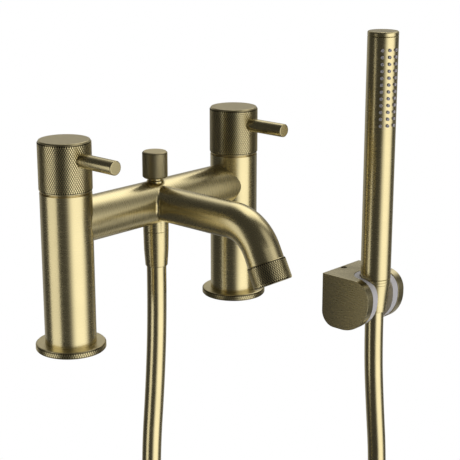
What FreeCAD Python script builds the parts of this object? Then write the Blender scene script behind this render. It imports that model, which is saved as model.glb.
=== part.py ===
import FreeCAD, Part
import math
import os

V = FreeCAD.Vector
UP = V(0, 0, 1)

# Deck-mounted bath shower mixer with a separate wall bracket, pencil handset and hose.
# Millimetres. Z = 0 is the deck, the origin is midway between the two tap holes,
# +X runs along the bridge to the right pillar and -Y is the front, where the spout points.

# Pillars and base flanges
PILLAR_SPACING = 180.0
PILLAR_R = 19.2
PILLAR_TOP = 119.9
FLANGE_WIDTH = 7.1
FLANGE_THICK = 5.2
FLANGE_EDGE = 0.6
DECK_SEAL_THICK = 1.5
DECK_SEAL_WIDTH = 4.0
DECK_SEAL_INSET = 1.4
INLET_R = 12.06
INLET_DEPTH = 16.0
CHECK_VALVE_LENGTH = 14.0
CHECK_VALVE_STEP = 1.6
WATERWAY_R = 8.0

# Bridge, spout and aerator
BRIDGE_R = 16.8
BRIDGE_DROP = 24.0
BRIDGE_BORE_R = 11.0
BRIDGE_SPIGOT_WALL = 1.5
BLOCK_HALF = 14.0
SPOUT_R = 13.8
SPOUT_WALL = 3.0
SPOUT_SPIGOT_STEP = 1.9
SPOUT_STRAIGHT = 81.5
SPOUT_BEND_R = 32.0
SPOUT_DROP_ANGLE = 63.5
SPOUT_TAIL = 9.1
AERATOR_STEP = 0.9
AERATOR_LENGTH = 16.4
AERATOR_THREAD = 7.0
AERATOR_THREAD_STEP = 1.2
AERATOR_LIP = 1.2
AERATOR_EDGE = 0.5

# Quarter-turn cartridges
SEAT_DEPTH = 35.9
CHAMBER_WALL = 5.2
BARREL_R = 10.5
BARREL_SEAL_THICK = 2.0
BARREL_SHOULDER_DEPTH = 13.9
COLLAR_GAP = 0.7
COLLAR_THICK = 2.6
NECK_R = 8.0
NECK_HEIGHT = 7.1
DISC_POCKET_WALL = 2.0
DISC_THICK = 3.0
DISC_HOLE_R = 2.2
DISC_HOLE_INSET = 3.9
SPINDLE_R = 4.5
SPINDLE_HEIGHT = 19.1
SPINDLE_FOOT_STEP = 0.9
SPINDLE_FOOT_THICK = 3.6
DRIVE_HALF_LENGTH = 5.5
DRIVE_HALF_WIDTH = 1.5
DRIVE_DEPTH = 1.2

# Handles and levers
HANDLE_R = 19.6
HANDLE_GAP = 1.3
HANDLE_HEIGHT = 37.7
HANDLE_SKIRT = 2.4
HANDLE_CAVITY_DEPTH = 8.8
HANDLE_RIM = 1.2
LEVER_R = 5.3
LEVER_BELOW_TOP = 13.0
LEVER_REACH = 34.6
LEVER_STUD_R = 4.0
LEVER_STUD_LENGTH = 10.0
LEVER_RECESS = 2.0
HANDLE_SCREW_R = 2.0
HANDLE_SCREW_HEIGHT = 13.3
HANDLE_SCREW_LENGTH = 12.5

# Pull-up diverter
KNOB_R = 9.8
KNOB_GAP = 2.5
KNOB_HEIGHT = 20.8
KNOB_EDGE = 1.1
KNOB_CAVITY_GAP = 0.5
STEM_R = 3.0
STEM_BELOW_KNOB_TOP = 5.0
STEM_HEAD_R = 4.4
STEM_HEAD_THICK = 1.5
BUSH_HEAD_R = 6.6
BUSH_HEAD_HEIGHT = 4.1
BUSH_THREAD_R = 5.9
BUSH_DEPTH = 7.7
SPOT_FACE_DEPTH = 1.4
VALVE_BORE_R = 9.6
VALVE_ROOF = 4.3
CAGE_WALL = 2.0
CAGE_RISE = 4.9
BUSH_GAP = 5.5
PARTITION_THICK = 2.0
PARTITION_HOLE_R = 5.3
WINDOW_R = 4.5
WINDOW_BELOW_PARTITION = 4.7
PLUNGER_R = 7.2
PLUNGER_THICK = 2.5
SEAL_THICK = 1.5
UPPER_SEAL_THICK = 1.3
SPRING_WIRE = 0.8
SPRING_R = 4.3
SPRING_TURNS = 5

# Shower outlet and the hose's lower end
OUTLET_R = 10.0
OUTLET_DROP = 6.0
OUTLET_THREAD_R = 8.3
OUTLET_THREAD_LENGTH = 9.6
OUTLET_BORE_R = 5.0
WASHER_THICK = 1.5
INSERT_FLANGE_THICK = 2.0
LOWER_NUT_LENGTH = 28.8
LOWER_NUT_STEP = 1.0
LOWER_NUT_SHOULDER = 16.0
LOWER_NUT_SHOULDER_R = 9.65
HOSE_INSERT_STEP = 1.55
INSERT_BORE_R = 4.0

# Handset
HANDSET_X = 156.8
HANDSET_REACH = 36.1
HANDSET_R = 12.5
HANDSET_WALL = 1.5
HANDSET_SINK = 1.1
HANDSET_LENGTH = 203.3
CAP_THICK = 3.7
CAP_SPIGOT = 6.0
CAP_GROOVE = 0.25
CAP_EDGE = 0.6
CONNECTOR_PLUG = 14.0
CONNECTOR_THREAD_STEP = 2.1
CONNECTOR_THREAD_LENGTH = 13.5
CONNECTOR_BORE_R = 5.5
NOZZLE_FACING = -28.0
NOZZLE_COLUMN_STEP = 26.5
NOZZLE_COLUMNS = 3
NOZZLE_ROWS = 12
NOZZLE_BELOW_TOP = 14.0
NOZZLE_PITCH = 5.45
NOZZLE_R = 1.3
NOZZLE_PROUD = 1.4
STRIP_THICK = 1.2
STRIP_HALF_ANGLE = 38.0
STRIP_MARGIN = 3.4
JET_R = 0.45

# Handset's cone nut and the hose's upper end
UPPER_NUT_GAP = 0.25
UPPER_NUT_LENGTH = 28.95
UPPER_NUT_STEP = 0.1
UPPER_NUT_BAND = 4.8
UPPER_NUT_BAND_STEP = 0.25
UPPER_NUT_BOTTOM_STEP = 3.0
UPPER_FLANGE_STEP = 1.7
UPPER_INSERT_STEP = 1.25

# Hose, 1.5 m long: two legs and a put-away coil of one and a half turns
HOSE_R = 7.75
COIL_Z = -295.0
TIE_WIDTH = 14.0
TIE_THICK = 1.6

# Wall bracket
BRACKET_WIDTH = 50.0
BRACKET_BACK = -62.7
BRACKET_DEPTH = 47.5
BRACKET_TOP = 20.1
BRACKET_HEIGHT = 45.1
BRACKET_TOP_FRONT_R = 15.0
BRACKET_BOTTOM_FRONT_R = 27.0
BRACKET_BOTTOM_BACK_R = 12.5
BRACKET_EDGE = 1.0
SLOT_STEP = 1.8
LINER_THICK = 7.0
LINER_INSET = 0.6
LINER_CLEARANCE = 0.3
PLATE_WIDTH = 32.0
PLATE_HEIGHT = 28.0
PLATE_THICK = 6.0
PLATE_BELOW_MIDDLE = 1.5
PLATE_HOLE_R = 2.4
PLATE_HOLE_SPACING = 16.0
GRUB_R = 2.5
GRUB_LENGTH = 6.0

# Clearances
SNUG = 0.05
RUNNING = 0.05

# Sizes that follow from the ones above
HALF_SPACING = PILLAR_SPACING / 2
SIDES = {"left": -HALF_SPACING, "right": HALF_SPACING}
FLANGE_R = PILLAR_R + FLANGE_WIDTH
DECK_SEAL_INNER = PILLAR_R + DECK_SEAL_INSET
DECK_SEAL_OUTER = DECK_SEAL_INNER + DECK_SEAL_WIDTH
CHECK_VALVE_R = INLET_R - CHECK_VALVE_STEP
BRIDGE_Z = PILLAR_TOP - BRIDGE_DROP
BRIDGE_TOP = BRIDGE_Z + BRIDGE_R
BRIDGE_BOTTOM = BRIDGE_Z - BRIDGE_R
BRIDGE_SPIGOT_R = BRIDGE_BORE_R + BRIDGE_SPIGOT_WALL
CHAMBER_R = PILLAR_R - CHAMBER_WALL
SEAT_Z = PILLAR_TOP - SEAT_DEPTH
CARTRIDGE_BOTTOM = SEAT_Z + BARREL_SEAL_THICK
BARREL_TOP = PILLAR_TOP - BARREL_SHOULDER_DEPTH
NECK_TOP = PILLAR_TOP + NECK_HEIGHT
DISC_POCKET_R = BARREL_R - DISC_POCKET_WALL
BARREL_BORE_R = DISC_POCKET_R - 1.5
DISC_HOLE_OFFSET = DISC_POCKET_R - DISC_HOLE_INSET
DISC_Z = CARTRIDGE_BOTTOM + 2.0
SPINDLE_TOP = PILLAR_TOP + SPINDLE_HEIGHT
SPINDLE_FOOT_R = DISC_POCKET_R - SPINDLE_FOOT_STEP
SPINDLE_FOOT_Z = DISC_Z + 2 * DISC_THICK
DISC_POCKET_TOP = SPINDLE_FOOT_Z + SPINDLE_FOOT_THICK + 0.4
HANDLE_BOTTOM = PILLAR_TOP + HANDLE_GAP
HANDLE_TOP = HANDLE_BOTTOM + HANDLE_HEIGHT
HANDLE_CAVITY_R = HANDLE_R - HANDLE_SKIRT
HANDLE_CAVITY_TOP = HANDLE_BOTTOM + HANDLE_CAVITY_DEPTH
COLLAR_R = HANDLE_CAVITY_R - COLLAR_GAP
LEVER_Z = HANDLE_TOP - LEVER_BELOW_TOP
LEVER_END = HANDLE_R + LEVER_REACH
LEVER_STUD_INNER = -HANDLE_R + LEVER_RECESS + LEVER_STUD_LENGTH + 0.4
HANDLE_SCREW_Z = HANDLE_BOTTOM + HANDLE_SCREW_HEIGHT
SPOT_FACE_Z = BRIDGE_TOP - SPOT_FACE_DEPTH
VALVE_BORE_TOP = BRIDGE_TOP - VALVE_ROOF
BUSH_BOTTOM = BRIDGE_TOP - BUSH_DEPTH
BUSH_HEAD_TOP = BRIDGE_TOP + BUSH_HEAD_HEIGHT
KNOB_BOTTOM = BRIDGE_TOP + KNOB_GAP
KNOB_TOP = KNOB_BOTTOM + KNOB_HEIGHT
STEM_TOP = KNOB_TOP - STEM_BELOW_KNOB_TOP
CAGE_INNER_R = VALVE_BORE_R - CAGE_WALL
CAGE_BOTTOM = BRIDGE_BOTTOM + CAGE_RISE
SEAL_Z = CAGE_BOTTOM
PLUNGER_Z = SEAL_Z + SEAL_THICK
PLUNGER_TOP = PLUNGER_Z + PLUNGER_THICK
PARTITION_Z = BUSH_BOTTOM - BUSH_GAP - PARTITION_THICK
WINDOW_Z = PARTITION_Z - WINDOW_BELOW_PARTITION
SPOUT_BORE_R = SPOUT_R - SPOUT_WALL
SPOUT_SPIGOT_R = SPOUT_R - SPOUT_SPIGOT_STEP
SPOUT_SPIGOT_END = VALVE_BORE_R + 2.9
AERATOR_R = SPOUT_R + AERATOR_STEP
AERATOR_THREAD_R = SPOUT_R - AERATOR_THREAD_STEP
OUTLET_JOINT_Z = BRIDGE_BOTTOM - OUTLET_DROP
THREAD_BOTTOM = OUTLET_JOINT_Z - OUTLET_THREAD_LENGTH
LOWER_FLANGE_TOP = THREAD_BOTTOM - WASHER_THICK
LOWER_FLANGE_BOTTOM = LOWER_FLANGE_TOP - INSERT_FLANGE_THICK
LOWER_NUT_BOTTOM = OUTLET_JOINT_Z - LOWER_NUT_LENGTH
LOWER_NUT_BOTTOM_R = HOSE_R + LOWER_NUT_STEP
LOWER_INSERT_R = HOSE_R - HOSE_INSERT_STEP
HANDSET_Y = BRACKET_BACK - HANDSET_REACH
HANDSET_AXIS = V(HANDSET_X, HANDSET_Y, 0)
HANDSET_BOTTOM = BRACKET_TOP - HANDSET_SINK
HANDSET_TOP = HANDSET_BOTTOM + HANDSET_LENGTH
HANDSET_BORE_R = HANDSET_R - HANDSET_WALL
CAP_JOINT_Z = HANDSET_TOP - CAP_THICK
NOZZLE_TOP_Z = HANDSET_TOP - NOZZLE_BELOW_TOP
CONNECTOR_THREAD_R = HANDSET_R - CONNECTOR_THREAD_STEP
CONNECTOR_BOTTOM = HANDSET_BOTTOM - CONNECTOR_THREAD_LENGTH
UPPER_NUT_TOP = HANDSET_BOTTOM - UPPER_NUT_GAP
UPPER_NUT_BOTTOM = UPPER_NUT_TOP - UPPER_NUT_LENGTH
UPPER_NUT_TOP_R = HANDSET_R - UPPER_NUT_STEP
UPPER_NUT_BAND_R = HANDSET_R - UPPER_NUT_BAND_STEP
UPPER_NUT_BOTTOM_R = HANDSET_R - UPPER_NUT_BOTTOM_STEP
UPPER_FLANGE_R = CONNECTOR_THREAD_R - UPPER_FLANGE_STEP
UPPER_INSERT_R = HOSE_R - UPPER_INSERT_STEP
UPPER_FLANGE_TOP = CONNECTOR_BOTTOM - WASHER_THICK
UPPER_FLANGE_BOTTOM = UPPER_FLANGE_TOP - INSERT_FLANGE_THICK
SLOT_HALF = HANDSET_R - SLOT_STEP
PLATE_Z = BRACKET_TOP - BRACKET_HEIGHT / 2 - PLATE_BELOW_MIDDLE
GRUB_AT = V(HANDSET_X, BRACKET_BACK - PLATE_THICK / 2, 0)
HOSE_D = 2 * HOSE_R
LEG_GAP = math.hypot(HANDSET_X, HANDSET_Y)
HOSE_WAY = V(HANDSET_X / LEG_GAP, HANDSET_Y / LEG_GAP, 0)
HOSE_NORMAL = V(-HOSE_WAY.y, HOSE_WAY.x, 0)
COIL_R = LEG_GAP / 2


def rod(radius, z0, z1, at=V(0, 0, 0)):
    """An upright solid cylinder from z0 to z1."""
    return Part.makeCylinder(radius, z1 - z0, V(at.x, at.y, z0), UP)


def tube(outer, inner, z0, z1, at=V(0, 0, 0)):
    """An upright pipe from z0 to z1."""
    return rod(outer, z0, z1, at).cut(rod(inner, z0 - 1, z1 + 1, at))


def bar_x(radius, x0, x1, z):
    """A cylinder along X."""
    return Part.makeCylinder(radius, x1 - x0, V(x0, 0, z), V(1, 0, 0))


def bar_y(radius, y0, y1, z, x=0.0):
    """A cylinder along Y."""
    return Part.makeCylinder(radius, y1 - y0, V(x, y0, z), V(0, 1, 0))


def box(x0, x1, y0, y1, z0, z1):
    return Part.makeBox(x1 - x0, y1 - y0, z1 - z0, V(x0, y0, z0))


def revolved(profile, at=V(0, 0, 0)):
    """A closed outline of (radius, z) points turned about the upright axis through at."""
    points = [V(at.x + r, at.y, z) for r, z in profile]
    face = Part.Face(Part.makePolygon(points + points[:1]))
    return face.revolve(at, UP, 360)


def edged_cylinder(radius, z0, z1, top_edge, bottom_edge, at=V(0, 0, 0)):
    """An upright cylinder with its two rims chamfered."""
    return revolved([
        (0, z0), (radius - bottom_edge, z0), (radius, z0 + bottom_edge),
        (radius, z1 - top_edge), (radius - top_edge, z1), (0, z1),
    ], at)


def hex_socket(across, depth, at, axis):
    """A hexagonal key recess to cut, starting at a point and going along axis."""
    corner = across / math.sqrt(3)
    side = axis.cross(V(1, 0, 0))
    if side.Length < 0.5:
        side = axis.cross(V(0, 0, 1))
    side.normalize()
    other = axis.cross(side)
    points = []
    for k in range(6):
        angle = math.radians(60 * k)
        points.append(at + side * (corner * math.cos(angle)) + other * (corner * math.sin(angle)))
    return Part.Face(Part.makePolygon(points + points[:1])).extrude(axis * depth)


# ---------------------------------------------------------------- pillars

def pillar(x):
    at = V(x, 0, 0)
    body = rod(PILLAR_R, 0, PILLAR_TOP, at)
    body = body.cut(rod(INLET_R, -1, INLET_DEPTH, at))
    body = body.cut(rod(CHECK_VALVE_R + SNUG, INLET_DEPTH - 1, INLET_DEPTH + CHECK_VALVE_LENGTH, at))
    body = body.cut(rod(WATERWAY_R, INLET_DEPTH, SEAT_Z + 1, at))
    body = body.cut(rod(CHAMBER_R, SEAT_Z, PILLAR_TOP + 1, at))
    return body.cut(bar_x(BRIDGE_SPIGOT_R + SNUG, min(x, 0), max(x, 0), BRIDGE_Z))


def base_flange(x):
    at = V(x, 0, 0)
    ring = edged_cylinder(FLANGE_R, 0, FLANGE_THICK, FLANGE_EDGE, FLANGE_EDGE, at)
    ring = ring.cut(rod(PILLAR_R + SNUG, -1, FLANGE_THICK + 1, at))
    return ring.cut(tube(DECK_SEAL_OUTER + SNUG, DECK_SEAL_INNER - SNUG, -1, DECK_SEAL_THICK, at))


def deck_seal(x):
    return tube(DECK_SEAL_OUTER, DECK_SEAL_INNER, 0, DECK_SEAL_THICK, V(x, 0, 0))


def check_valve(x):
    """A plastic non-return insert: a ring with a cross of ribs and a poppet on it."""
    at = V(x, 0, 0)
    z0 = INLET_DEPTH
    z1 = INLET_DEPTH + CHECK_VALVE_LENGTH
    ring = tube(CHECK_VALVE_R, WATERWAY_R - 0.4, z0, z1, at)
    for turn in (0, 90):
        rib = box(-WATERWAY_R, WATERWAY_R, -0.9, 0.9, z0 + 1, z0 + 5)
        rib.rotate(V(0, 0, 0), UP, turn)
        rib.translate(at)
        ring = ring.fuse(rib)
    poppet = rod(2.0, z0 + 1, z1 - 2, at).fuse(rod(5.5, z1 - 4, z1 - 2, at))
    return ring.fuse(poppet).removeSplitter()


def cartridge_seal(x):
    return tube(BARREL_R, WATERWAY_R, SEAT_Z, CARTRIDGE_BOTTOM, V(x, 0, 0))


def cartridge_body(x):
    at = V(x, 0, 0)
    body = revolved([
        (SPINDLE_R + RUNNING, CARTRIDGE_BOTTOM), (BARREL_R, CARTRIDGE_BOTTOM), (BARREL_R, BARREL_TOP),
        (CHAMBER_R - SNUG, BARREL_TOP), (CHAMBER_R - SNUG, PILLAR_TOP), (COLLAR_R, PILLAR_TOP),
        (COLLAR_R, PILLAR_TOP + COLLAR_THICK), (NECK_R, PILLAR_TOP + COLLAR_THICK),
        (NECK_R, NECK_TOP), (SPINDLE_R + RUNNING, NECK_TOP),
    ], at)
    body = body.cut(rod(BARREL_BORE_R, CARTRIDGE_BOTTOM - 1, DISC_Z + 1, at))
    body = body.cut(rod(DISC_POCKET_R, DISC_Z, DISC_POCKET_TOP, at))
    window = box(x - BARREL_R - 1, x + BARREL_R + 1, -4, 4, SPINDLE_FOOT_Z + 0.3, DISC_POCKET_TOP)
    return body.cut(window)


def lower_disc(x):
    """The fixed ceramic disc, with its two water holes in line with the bridge."""
    disc = rod(DISC_POCKET_R - SNUG, DISC_Z, DISC_Z + DISC_THICK, V(x, 0, 0))
    for side in (-1, 1):
        disc = disc.cut(rod(DISC_HOLE_R, DISC_Z - 1, DISC_Z + DISC_THICK + 1,
                            V(x + side * DISC_HOLE_OFFSET, 0, 0)))
    return disc


def upper_disc(x):
    """The turning ceramic disc: shut at rest, with its holes a quarter turn away."""
    z0 = DISC_Z + DISC_THICK
    disc = rod(DISC_POCKET_R - 0.3, z0, z0 + DISC_THICK, V(x, 0, 0))
    for side in (-1, 1):
        disc = disc.cut(rod(DISC_HOLE_R, z0 - 1, z0 + DISC_THICK + 1,
                            V(x, side * DISC_HOLE_OFFSET, 0)))
    return disc.cut(drive_tang(x, SNUG))


def drive_tang(x, grow):
    """The bar under the spindle's foot that turns the upper disc."""
    return box(x - DRIVE_HALF_LENGTH - grow, x + DRIVE_HALF_LENGTH + grow,
               -DRIVE_HALF_WIDTH - grow, DRIVE_HALF_WIDTH + grow,
               SPINDLE_FOOT_Z - DRIVE_DEPTH - grow, SPINDLE_FOOT_Z + 0.5)


def spindle(x):
    at = V(x, 0, 0)
    shaft = rod(SPINDLE_R, SPINDLE_FOOT_Z, SPINDLE_TOP, at)
    foot = rod(SPINDLE_FOOT_R, SPINDLE_FOOT_Z, SPINDLE_FOOT_Z + SPINDLE_FOOT_THICK, at)
    for side in (-1, 1):
        foot = foot.cut(rod(DISC_HOLE_R, SPINDLE_FOOT_Z - 1, DISC_POCKET_TOP,
                            V(x, side * DISC_HOLE_OFFSET, 0)))
    foot = foot.fuse(drive_tang(x, 0).common(rod(SPINDLE_FOOT_R, SEAT_Z, DISC_POCKET_TOP, at)))
    return shaft.fuse(foot).removeSplitter()


def handle(x):
    at = V(x, 0, 0)
    body = edged_cylinder(HANDLE_R, HANDLE_BOTTOM, HANDLE_TOP, HANDLE_RIM, HANDLE_RIM / 2, at)
    body = body.cut(rod(HANDLE_CAVITY_R, HANDLE_BOTTOM - 1, HANDLE_CAVITY_TOP, at))
    body = body.cut(rod(SPINDLE_R + SNUG / 2, HANDLE_CAVITY_TOP - 1, SPINDLE_TOP + 0.5, at))
    body = body.cut(bar_y(LEVER_STUD_R + SNUG, -HANDLE_R - 1, LEVER_STUD_INNER, LEVER_Z, x))
    body = body.cut(bar_y(LEVER_R + SNUG, -HANDLE_R - 1, -HANDLE_R + LEVER_RECESS, LEVER_Z, x))
    return body.cut(bar_y(HANDLE_SCREW_R + SNUG, SPINDLE_R, HANDLE_R + 1, HANDLE_SCREW_Z, x))


def lever(x):
    """A plain round pin with a thinner threaded end that screws into the handle."""
    shoulder = -HANDLE_R + LEVER_RECESS
    pin = bar_y(LEVER_R, -LEVER_END, shoulder, LEVER_Z, x)
    tip = [edge for edge in pin.Edges
           if abs(edge.BoundBox.YMax + LEVER_END) < 0.01 and abs(edge.BoundBox.YMin + LEVER_END) < 0.01]
    pin = pin.makeChamfer(0.5, tip)
    return pin.fuse(bar_y(LEVER_STUD_R, shoulder, shoulder + LEVER_STUD_LENGTH, LEVER_Z, x)).removeSplitter()


def handle_screw(x):
    screw = bar_y(HANDLE_SCREW_R, SPINDLE_R + 0.02, SPINDLE_R + HANDLE_SCREW_LENGTH, HANDLE_SCREW_Z, x)
    end = V(x, SPINDLE_R + HANDLE_SCREW_LENGTH, HANDLE_SCREW_Z)
    return screw.cut(hex_socket(2.0, 2.5, end, V(0, -1, 0)))


# ---------------------------------------------------------------- bridge and spout

def bridge_tube():
    """The crossbar: a saddle at each pillar, a spigot into it, and a drilled block in the middle."""
    bar = bar_x(BRIDGE_R, -HALF_SPACING, HALF_SPACING, BRIDGE_Z)
    for x in SIDES.values():
        bar = bar.cut(rod(PILLAR_R + SNUG / 2, 0, PILLAR_TOP, V(x, 0, 0)))
    reach = HALF_SPACING - CHAMBER_R - 0.5
    bar = bar.fuse(bar_x(BRIDGE_SPIGOT_R, -reach, reach, BRIDGE_Z))
    for x0, x1 in ((-HALF_SPACING, -BLOCK_HALF), (BLOCK_HALF, HALF_SPACING)):
        bar = bar.cut(bar_x(BRIDGE_BORE_R, x0, x1, BRIDGE_Z))
    bar = bar.cut(rod(VALVE_BORE_R, BRIDGE_Z - BRIDGE_R - 1, VALVE_BORE_TOP))
    bar = bar.cut(rod(BUSH_THREAD_R + SNUG, VALVE_BORE_TOP - 1, BRIDGE_Z + BRIDGE_R + 1))
    bar = bar.cut(rod(BUSH_HEAD_R + SNUG, SPOT_FACE_Z, BRIDGE_Z + BRIDGE_R + 1))
    bar = bar.cut(bar_x(WINDOW_R, -BLOCK_HALF - 1, BLOCK_HALF + 1, WINDOW_Z))
    bar = bar.cut(bar_y(SPOUT_SPIGOT_R + SNUG, -BRIDGE_R - 1, -SPOUT_SPIGOT_END, BRIDGE_Z))
    bar = bar.cut(spout_window(-SPOUT_SPIGOT_END - 1, -CAGE_INNER_R))
    return bar.removeSplitter()


def spout_window(y0, y1):
    """The slot that lets water from the upper chamber into the spout."""
    return box(-4.5, 4.5, y0, y1, PARTITION_Z + PARTITION_THICK + 1, BRIDGE_Z + SPOUT_BORE_R - 1.5)


def spout_axis():
    """The spout's centre line: straight forward, then bent down, then a short straight tail."""
    turn = math.radians(SPOUT_DROP_ANGLE)
    start = V(0, 0, BRIDGE_Z)
    bend_in = V(0, -SPOUT_STRAIGHT, BRIDGE_Z)
    centre = bend_in - UP * SPOUT_BEND_R

    def on_bend(angle):
        return centre + V(0, -math.sin(angle), math.cos(angle)) * SPOUT_BEND_R

    way = V(0, -math.cos(turn), -math.sin(turn))
    bend_out = on_bend(turn)
    tail = bend_out + way * SPOUT_TAIL
    return start, bend_in, on_bend(turn / 2), bend_out, tail, way


def bent_rod(radius, extra=0.0):
    """A solid rod along the spout's centre line, longer than the tail by extra."""
    start, bend_in, middle, bend_out, tail, way = spout_axis()
    path = Part.Wire([
        Part.LineSegment(start, bend_in).toShape(),
        Part.Arc(bend_in, middle, bend_out).toShape(),
        Part.LineSegment(bend_out, tail + way * extra).toShape(),
    ])
    ring = Part.Wire(Part.makeCircle(radius, start, V(0, -1, 0)))
    return path.makePipeShell([ring], True, False)


def spout_tube():
    tail, way = spout_axis()[4:]
    body = bent_rod(SPOUT_R)
    body = body.fuse(Part.makeCylinder(AERATOR_THREAD_R, AERATOR_THREAD, tail, way))
    body = body.cut(bar_x(BRIDGE_R + SNUG / 2, -SPOUT_R - 5, SPOUT_R + 5, BRIDGE_Z))
    body = body.cut(rod(BUSH_HEAD_R + SNUG, SPOT_FACE_Z, KNOB_BOTTOM))
    body = body.fuse(bar_y(SPOUT_SPIGOT_R, -SPOUT_STRAIGHT / 2, -SPOUT_SPIGOT_END, BRIDGE_Z))
    body = body.cut(bent_rod(SPOUT_BORE_R, AERATOR_THREAD + 1))
    return body.removeSplitter()


def on_spout_end(radius, start, length):
    """A cylinder on the spout's tail, start mm past its end."""
    tail, way = spout_axis()[4:]
    return Part.makeCylinder(radius, length, tail + way * start, way)


def aerator_ring():
    ring = on_spout_end(AERATOR_R, 0.1, AERATOR_LENGTH)
    rims = [edge for edge in ring.Edges if len(edge.Vertexes) == 1 and edge.Length > 2 * AERATOR_R * 3]
    ring = ring.makeChamfer(AERATOR_EDGE, rims)
    ring = ring.cut(on_spout_end(AERATOR_THREAD_R + SNUG, -1, AERATOR_LENGTH + 3 - AERATOR_LIP))
    return ring.cut(on_spout_end(AERATOR_THREAD_R - 1.6, -1, AERATOR_LENGTH + 5))


def aerator_seal():
    seal = on_spout_end(AERATOR_THREAD_R - 0.2, AERATOR_THREAD, WASHER_THICK)
    return seal.cut(on_spout_end(SPOUT_BORE_R - 1.0, AERATOR_THREAD - 1, WASHER_THICK + 2))


def aerator_insert():
    """The plastic flow straightener: a disc with rings of small holes."""
    start = AERATOR_THREAD + WASHER_THICK
    length = AERATOR_LENGTH + 0.1 - AERATOR_LIP - start + 0.9
    insert = on_spout_end(AERATOR_THREAD_R - 0.2, start, length - 1.0)
    insert = insert.fuse(on_spout_end(AERATOR_THREAD_R - 1.8, start, length + 0.4))
    tail, way = spout_axis()[4:]
    side = V(1, 0, 0)
    other = way.cross(side)
    for ring_r, count in ((3.2, 6), (6.4, 12)):
        for k in range(count):
            angle = 2 * math.pi * k / count
            offset = side * (ring_r * math.cos(angle)) + other * (ring_r * math.sin(angle))
            hole = Part.makeCylinder(1.1, length + 3, tail + way * (start - 1) + offset, way)
            insert = insert.cut(hole)
    return insert


# ---------------------------------------------------------------- diverter

def diverter_cage():
    cage = tube(VALVE_BORE_R - SNUG, CAGE_INNER_R, CAGE_BOTTOM, VALVE_BORE_TOP)
    cage = cage.fuse(tube(CAGE_INNER_R + 1, PARTITION_HOLE_R, PARTITION_Z, PARTITION_Z + PARTITION_THICK))
    cage = cage.cut(bar_x(WINDOW_R, -VALVE_BORE_R - 1, VALVE_BORE_R + 1, WINDOW_Z))
    return cage.cut(spout_window(-VALVE_BORE_R - 1, 0)).removeSplitter()


def diverter_bush():
    bush = rod(BUSH_THREAD_R, BUSH_BOTTOM, SPOT_FACE_Z + 0.5)
    bush = bush.fuse(edged_cylinder(BUSH_HEAD_R, SPOT_FACE_Z, BUSH_HEAD_TOP, 0.4, 0.05))
    return bush.cut(rod(STEM_R + RUNNING, BUSH_BOTTOM - 1, BUSH_HEAD_TOP + 1)).removeSplitter()


def diverter_stem():
    return rod(STEM_R, SEAL_Z - 0.5, STEM_TOP).fuse(
        rod(STEM_HEAD_R, SEAL_Z - STEM_HEAD_THICK, SEAL_Z)).removeSplitter()


def diverter_plunger():
    return tube(PLUNGER_R, STEM_R + SNUG / 2, PLUNGER_Z, PLUNGER_TOP)


def diverter_lower_seal():
    return tube(PLUNGER_R, STEM_R + SNUG / 2, SEAL_Z, PLUNGER_Z)


def diverter_upper_seal():
    return tube(PLUNGER_R, PARTITION_HOLE_R - 0.1, PLUNGER_TOP, PLUNGER_TOP + UPPER_SEAL_THICK)


def diverter_spring():
    """The return spring between the plunger and the bush."""
    half_wire = SPRING_WIRE / 2
    z0 = PLUNGER_TOP + half_wire + 0.05
    height = BUSH_BOTTOM - half_wire - 0.05 - z0
    steps = 16 * SPRING_TURNS
    points = []
    for k in range(steps + 1):
        angle = 2 * math.pi * SPRING_TURNS * k / steps
        points.append(V(SPRING_R * math.cos(angle), SPRING_R * math.sin(angle), z0 + height * k / steps))
    helix = Part.BSplineCurve()
    helix.interpolate(points)
    ring = Part.Wire(Part.makeCircle(half_wire, points[0], helix.tangent(0)[0]))
    return Part.Wire(helix.toShape()).makePipeShell([ring], True, True)


def diverter_knob():
    knob = edged_cylinder(KNOB_R, KNOB_BOTTOM, KNOB_TOP, KNOB_EDGE, KNOB_EDGE)
    knob = knob.cut(rod(BUSH_HEAD_R + KNOB_CAVITY_GAP, KNOB_BOTTOM - 1, BUSH_HEAD_TOP + 0.8))
    return knob.cut(rod(STEM_R + SNUG / 2, KNOB_BOTTOM, STEM_TOP + 0.2))


def shower_outlet():
    """The collar under the bridge with the hose's thread below it."""
    collar = rod(OUTLET_R, OUTLET_JOINT_Z, CAGE_BOTTOM)
    collar = collar.cut(bar_x(BRIDGE_R + SNUG / 2, -OUTLET_R - 1, OUTLET_R + 1, BRIDGE_Z))
    collar = collar.fuse(rod(VALVE_BORE_R - SNUG, OUTLET_JOINT_Z, CAGE_BOTTOM))
    spout_side = bar_y(SPOUT_R + SNUG / 2, -SPOUT_STRAIGHT, 0, BRIDGE_Z)
    spout_side = spout_side.cut(bar_x(BRIDGE_R, -SPOUT_R - 5, SPOUT_R + 5, BRIDGE_Z))
    collar = collar.cut(spout_side)
    collar = collar.fuse(rod(OUTLET_THREAD_R, THREAD_BOTTOM, OUTLET_JOINT_Z + 0.5))
    return collar.cut(rod(OUTLET_BORE_R, THREAD_BOTTOM - 1, CAGE_BOTTOM + 1)).removeSplitter()


# ---------------------------------------------------------------- hose ends

def outlet_washer():
    return tube(OUTLET_THREAD_R - 0.1, OUTLET_BORE_R, LOWER_FLANGE_TOP, THREAD_BOTTOM)


def lower_hose_insert():
    insert = rod(OUTLET_THREAD_R - 0.1, LOWER_FLANGE_BOTTOM, LOWER_FLANGE_TOP)
    insert = insert.fuse(rod(LOWER_INSERT_R, LOWER_NUT_BOTTOM, LOWER_FLANGE_BOTTOM + 0.5))
    return insert.cut(rod(INSERT_BORE_R, LOWER_NUT_BOTTOM - 1, LOWER_FLANGE_TOP + 1)).removeSplitter()


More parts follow.
